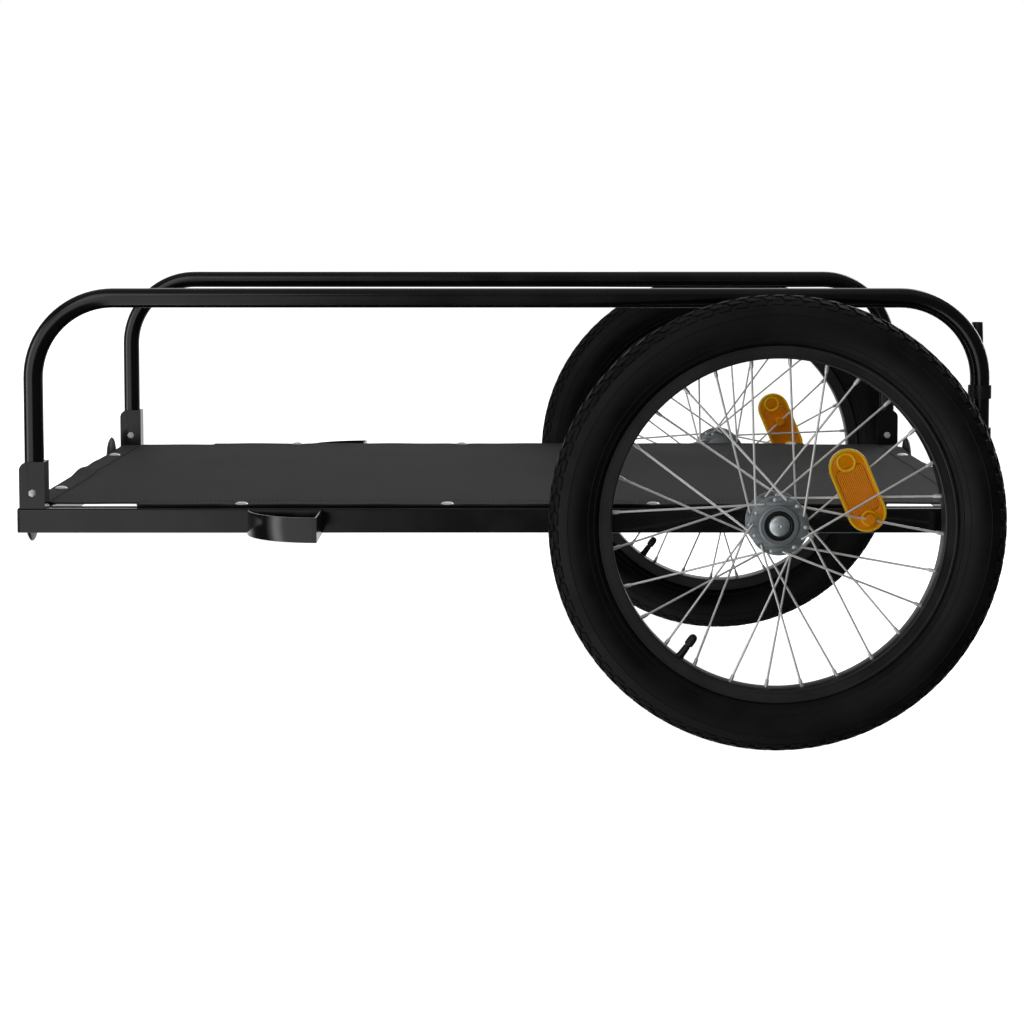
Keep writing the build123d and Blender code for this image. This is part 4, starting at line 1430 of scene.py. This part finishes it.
class TRAILER_OT_valves(bpy.types.Operator):
    """Valve stems with their ribbed caps"""
    bl_idname = "trailer.valves"
    bl_label = "Valves"

    def execute(self, context):
        bed = RIM_BED
        low, high = bed - 0.024, bed + 0.006
        outline = [(0.0, low), (0.0014, low + 0.0002), (0.0028, low + 0.0011), (0.0037, low + 0.0028),
                   (0.0038, low + 0.0045), (0.0038, low + 0.0105), (0.0036, low + 0.0112),
                   (0.0027, low + 0.0115), (0.0027, low + 0.0124), (0.0031, low + 0.0128),
                   (0.0034, bed - 0.003), (0.0039, bed - 0.0006), (0.004, bed), (0.004, high), (0.0, high)]
        for word, side in SIDES:
            bm = bmesh.new()
            lathe(bm, outline, 32)
            for x, z in ring_points(0.0038, 18):
                bar(bm, 0.0002, (x, low + 0.0045, z), (x, low + 0.0102, z), 6)
            place = wheel_place(side) @ radial(context.scene.trailer_wheels.valve_angle)
            add_piece(f"{word}_valve_and_cap", made_mesh("valve", bm, place, 40), "valve_rubber",
                      f"{word}_wheel", [f"{word}_valve_stem"])
        return {"FINISHED"}


class TRAILER_OT_spoke_reflectors(bpy.types.Operator):
    """Oval reflectors between the spokes, with a ribbed field and round ends"""
    bl_idname = "trailer.spoke_reflectors"
    bl_label = "Spoke reflectors"

    def execute(self, context):
        sizes = context.scene.trailer_wheels
        length, width, thick, band = 0.077, 0.0346, 0.008, 0.0024
        half = thick / 2
        angle = sizes.disc_angle
        stand = Matrix.Translation((sizes.disc_distance * cos(angle), 0, sizes.disc_distance * sin(angle)))
        stand = stand @ Matrix.Rotation(pi / 2 - angle, 4, "Y") @ Matrix.Rotation(pi / 2, 4, "X")
        for word, side in SIDES:
            place = wheel_place(side) @ stand
            bm = bmesh.new()
            inner = slot_outline(length - 2 * band, width - 2 * band)
            add_mesh(bm, plate([slot_outline(length, width), inner], thick, 0.0009))
            for end, radius in ((-1, 0.0076), (1, 0.0062)):
                crest = [(radius - 0.0011, half - 0.0006), (radius, half - 0.0002),
                         (radius + 0.001, half - 0.0006)]
                ring = bmesh.new()
                lathe(ring, [(r, -y) for r, y in crest] + crest[::-1], 40)
                turn = Matrix.Translation((end * 0.0268, 0, 0)) @ Matrix.Rotation(pi / 2, 4, "X")
                add_mesh(bm, made_mesh("ring", ring, turn))
            # The raised rim takes a lighter yellow than the body: a painted highlight along its edge.
            add_piece(f"{word}_amber_edge", made_mesh("edge", bm, place, 35), "amber_rim", f"{word}_wheel")
            bm = bmesh.new()
            outlines = [slot_outline(length - 0.002, width - 0.002), rounded_rectangle(0.044, 0.0255, 0.005)]
            add_mesh(bm, plate(outlines, thick - 0.0022, 0.0012))
            self.clips(bm, stand)
            self.field(bm, thick)
            add_piece(f"{word}_amber_body", made_mesh("amber", bm, place, 35), "amber_lens", f"{word}_wheel",
                      [f"{word}_spoke_reflector"])
        return {"FINISHED"}

    def clips(self, bm, stand):
        """A boss round each of the two spokes that carry the reflector."""
        sizes = bpy.context.scene.trailer_wheels
        back = stand.inverted()
        toward = Vector((cos(sizes.disc_angle), 0, sin(sizes.disc_angle)))
        for number in (2, 4 * sizes.groups - 1):
            hub_end, rim_end, _ = spoke_route(number)
            along = rim_end - hub_end
            spot = hub_end + along * ((sizes.disc_distance - hub_end.dot(toward)) / along.dot(toward))
            cover = spot + Vector((0, 0.0023 if spot.y > 0 else -0.0023, 0))
            start, end = back @ Vector((spot.x, 0, spot.z)), back @ cover
            boss = bmesh.new()
            rise = (end - start).length
            lathe(boss, [(0.0, 0.0), (0.0049, 0.0), (0.0049, rise - 0.0006), (0.0043, rise), (0.0, rise)], 32)
            turn = (end - start).to_track_quat("Y", "X").to_matrix().to_4x4()
            add_mesh(bm, made_mesh("boss", boss, Matrix.Translation(start) @ turn))

    def field(self, bm, thick):
        """The deeper field between the ends, with its ribs along the reflector."""
        add_mesh(bm, plate([rounded_rectangle(0.0438, 0.0253, 0.005)], thick - 0.0034, 0.0004))
        rib = bmesh.new()
        for face in (-1, 1):
            z = face * (thick / 2 - 0.0017)
            points = [Vector((s * 0.0205, z, 0)) for s in (-1.0, -0.98, 0.98, 1.0)]
            wire(rib, points, [0.0001, 0.0007, 0.0007, 0.0001], 8)
        spread = 0.0118
        line = paths_mesh([[(0, -spread, 0), (0, 0, 0), (0, spread, 0)]])
        ribs = grow(path_tree(), line, Matrix.Identity(4), made_mesh("rib", rib, Matrix.Identity(4)),
                    Material=finish("amber_lens"), Pitch=0.00168, Unevenness=0.0, Seed=1)
        add_mesh(bm, ribs)


# Stage


class TRAILER_OT_stage(bpy.types.Operator):
    """Pale floor, soft light and the camera"""
    bl_idname = "trailer.stage"
    bl_label = "Stage"

    def execute(self, context):
        scene = context.scene
        scene.view_settings.view_transform = "Standard"
        self.floor()
        self.surroundings(scene)
        self.lights()
        self.camera(scene)
        return {"FINISHED"}

    def floor(self):
        """A wide pale floor that shows no shadow and is clear from below."""
        half = 30.0
        mesh = bpy.data.meshes.new("floor")
        corners = [(x * half, y * half, 0) for x, y in ((-1, -1), (1, -1), (1, 1), (-1, 1))]
        mesh.from_pydata(corners, [], [(0, 1, 2, 3)])
        floor = new_object("floor", mesh)
        material, tree, sockets, place = new_finish("floor_paint", Roughness=0.9, Emission_Strength=1.0,
                                                    Specular_IOR_Level=0.0)
        made = use_group(tree, grain_group(), Vector=place, Grain_Size=0.02, Patch_Size=1.5)
        tone = blend_colours(tree, made["Patches"], (0.90, 0.90, 0.90, 1), (0.92, 0.92, 0.92, 1))
        tree.links.new(tone, sockets["Base Color"])
        sockets["Emission Color"].default_value = (1, 1, 1, 1)
        under = put(tree, "ShaderNodeNewGeometry").outputs["Backfacing"]
        one_sided = put(tree, "ShaderNodeMixShader", Fac=under)
        tree.links.new(tree.nodes["Principled BSDF"].outputs[0], one_sided.inputs[1])
        tree.links.new(put(tree, "ShaderNodeBsdfTransparent").outputs[0], one_sided.inputs[2])
        tree.links.new(one_sided.outputs[0], tree.nodes["Material Output"].inputs["Surface"])
        floor.data.materials.append(material)
        floor.visible_diffuse = False
        floor.visible_glossy = False
        floor.visible_transmission = False
        floor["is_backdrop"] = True

    def surroundings(self, scene):
        """A white room for the camera, and a soft studio to reflect, brightest to the front left."""
        world = bpy.data.worlds.new("studio")
        scene.world = world
        world.use_nodes = True
        tree = world.node_tree
        back = tree.nodes["Background"]
        direction = put(tree, "ShaderNodeTexCoord").outputs["Generated"]
        level = put(tree, "ShaderNodeVectorRotate", {"rotation_type": "Y_AXIS"}, Vector=direction, Angle=LEAN)
        parts = put(tree, "ShaderNodeSeparateXYZ", Vector=level.outputs[0])
        x, y, z = parts.outputs
        heading = maths(tree, "ARCTAN2", x, maths(tree, "MULTIPLY", y, -1.0))
        left = maths(tree, "MULTIPLY", ramp(tree, x, -0.06, -0.115), ramp(tree, heading, -1.6, -1.38))
        left = maths(tree, "MULTIPLY", left, ramp(tree, z, 0.6, 0.2))
        strip = maths(tree, "MULTIPLY", ramp(tree, heading, -1.0, -1.2), ramp(tree, heading, -1.42, -1.3))
        overhead = ramp(tree, z, 0.62, 0.85)
        behind = ramp(tree, y, 0.5, 0.9)
        total = maths(tree, "MULTIPLY", left, 0.85)
        for part, strength in ((maths(tree, "MULTIPLY", left, strip), 1.7), (overhead, 0.1), (behind, 0.75)):
            total = maths(tree, "ADD", total, maths(tree, "MULTIPLY", part, strength))
        total = maths(tree, "ADD", total, 0.05)
        seen = put(tree, "ShaderNodeLightPath").outputs["Is Camera Ray"]
        shown = put(tree, "ShaderNodeMix", {"data_type": "FLOAT"})
        for socket, value in ((0, seen), (2, total), (3, 1.0)):
            join(tree, shown.inputs[socket], value)
        tree.links.new(shown.outputs[0], back.inputs["Strength"])
        back.inputs["Color"].default_value = (1, 1, 1, 1)

    def lights(self):
        """Large soft lights: above, to the front left and to the back right."""
        low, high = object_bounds()
        centre = (low + high) / 2
        lamps = (("top_light", (0.1, -0.3, 2.2), 1.8, 28.0, False),
                 ("front_light", (-1.7, -2.3, 1.5), 1.5, 8.0, True),
                 ("back_light", (1.5, 2.2, 1.7), 1.6, 26.0, True))
        for name, offset, size, power, mirrored in lamps:
            data = bpy.data.lights.new(name, "AREA")
            data.size = size
            data.energy = power
            light = bpy.data.objects.new(name, data)
            bpy.context.scene.collection.objects.link(light)
            light.visible_glossy = mirrored
            light.location = centre + Vector(offset)
            light.rotation_euler = (-Vector(offset)).to_track_quat("-Z", "Y").to_euler()

    def camera(self, scene):
        """A long lens beside the left wheel, level with the leaning trailer and tipped a little down."""
        data = bpy.data.cameras.new("camera")
        camera = bpy.data.objects.new("camera", data)
        scene.collection.objects.link(camera)
        data.sensor_width = 36.0
        data.lens = 87.98
        drop = radians(4.194)
        data.shift_x = -0.0071
        data.shift_y = -0.1193
        data.clip_start, data.clip_end = 0.05, 100.0
        stand = Matrix.Translation((0.0115, -2.5217, 0.2809))
        camera.matrix_world = LEVEL @ stand @ Matrix.Rotation(pi / 2 - drop, 4, "X")
        scene.camera = camera


# Add-on


class TRAILER_PT_panel(bpy.types.Panel):
    """Sizes, colours and pieces of the trailer"""
    bl_idname = "TRAILER_PT_panel"
    bl_label = "Cargo trailer"
    bl_space_type = "VIEW_3D"
    bl_region_type = "UI"
    bl_category = "Trailer"

    def draw(self, context):
        for group in ("trailer_frame", "trailer_deck", "trailer_wheels", "trailer_colours"):
            box = self.layout.box()
            sizes = getattr(context.scene, group)
            for name in sizes.bl_rna.properties.keys():
                if name not in ("rna_type", "name"):
                    box.prop(sizes, name)
        for piece in PIECES:
            self.layout.operator(piece.bl_idname)


PIECES = (TRAILER_OT_tubes, TRAILER_OT_arches, TRAILER_OT_brackets, TRAILER_OT_guards, TRAILER_OT_welds,
          TRAILER_OT_fittings, TRAILER_OT_deck, TRAILER_OT_rivets, TRAILER_OT_tyres, TRAILER_OT_rims,
          TRAILER_OT_spokes, TRAILER_OT_hubs, TRAILER_OT_valves, TRAILER_OT_spoke_reflectors,
          TRAILER_OT_stage)
GROUPS = (("trailer_frame", FrameSizes), ("trailer_deck", DeckSizes), ("trailer_wheels", WheelSizes),
          ("trailer_colours", Colours))


def register():
    """Register the sizes, operators and panel."""
    for name, group in GROUPS:
        bpy.utils.register_class(group)
        setattr(bpy.types.Scene, name, PointerProperty(type=group))
    for item in (*PIECES, TRAILER_PT_panel):
        bpy.utils.register_class(item)


def unregister():
    """Take them all away again."""
    for item in (TRAILER_PT_panel, *reversed(PIECES)):
        bpy.utils.unregister_class(item)
    for name, group in reversed(GROUPS):
        delattr(bpy.types.Scene, name)
        bpy.utils.unregister_class(group)


def main():
    """Build everything on the frame."""
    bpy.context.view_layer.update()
    register()
    for piece in PIECES:
        getattr(bpy.ops.trailer, piece.bl_idname.split(".")[1])()


if __name__ == "__main__":
    main()
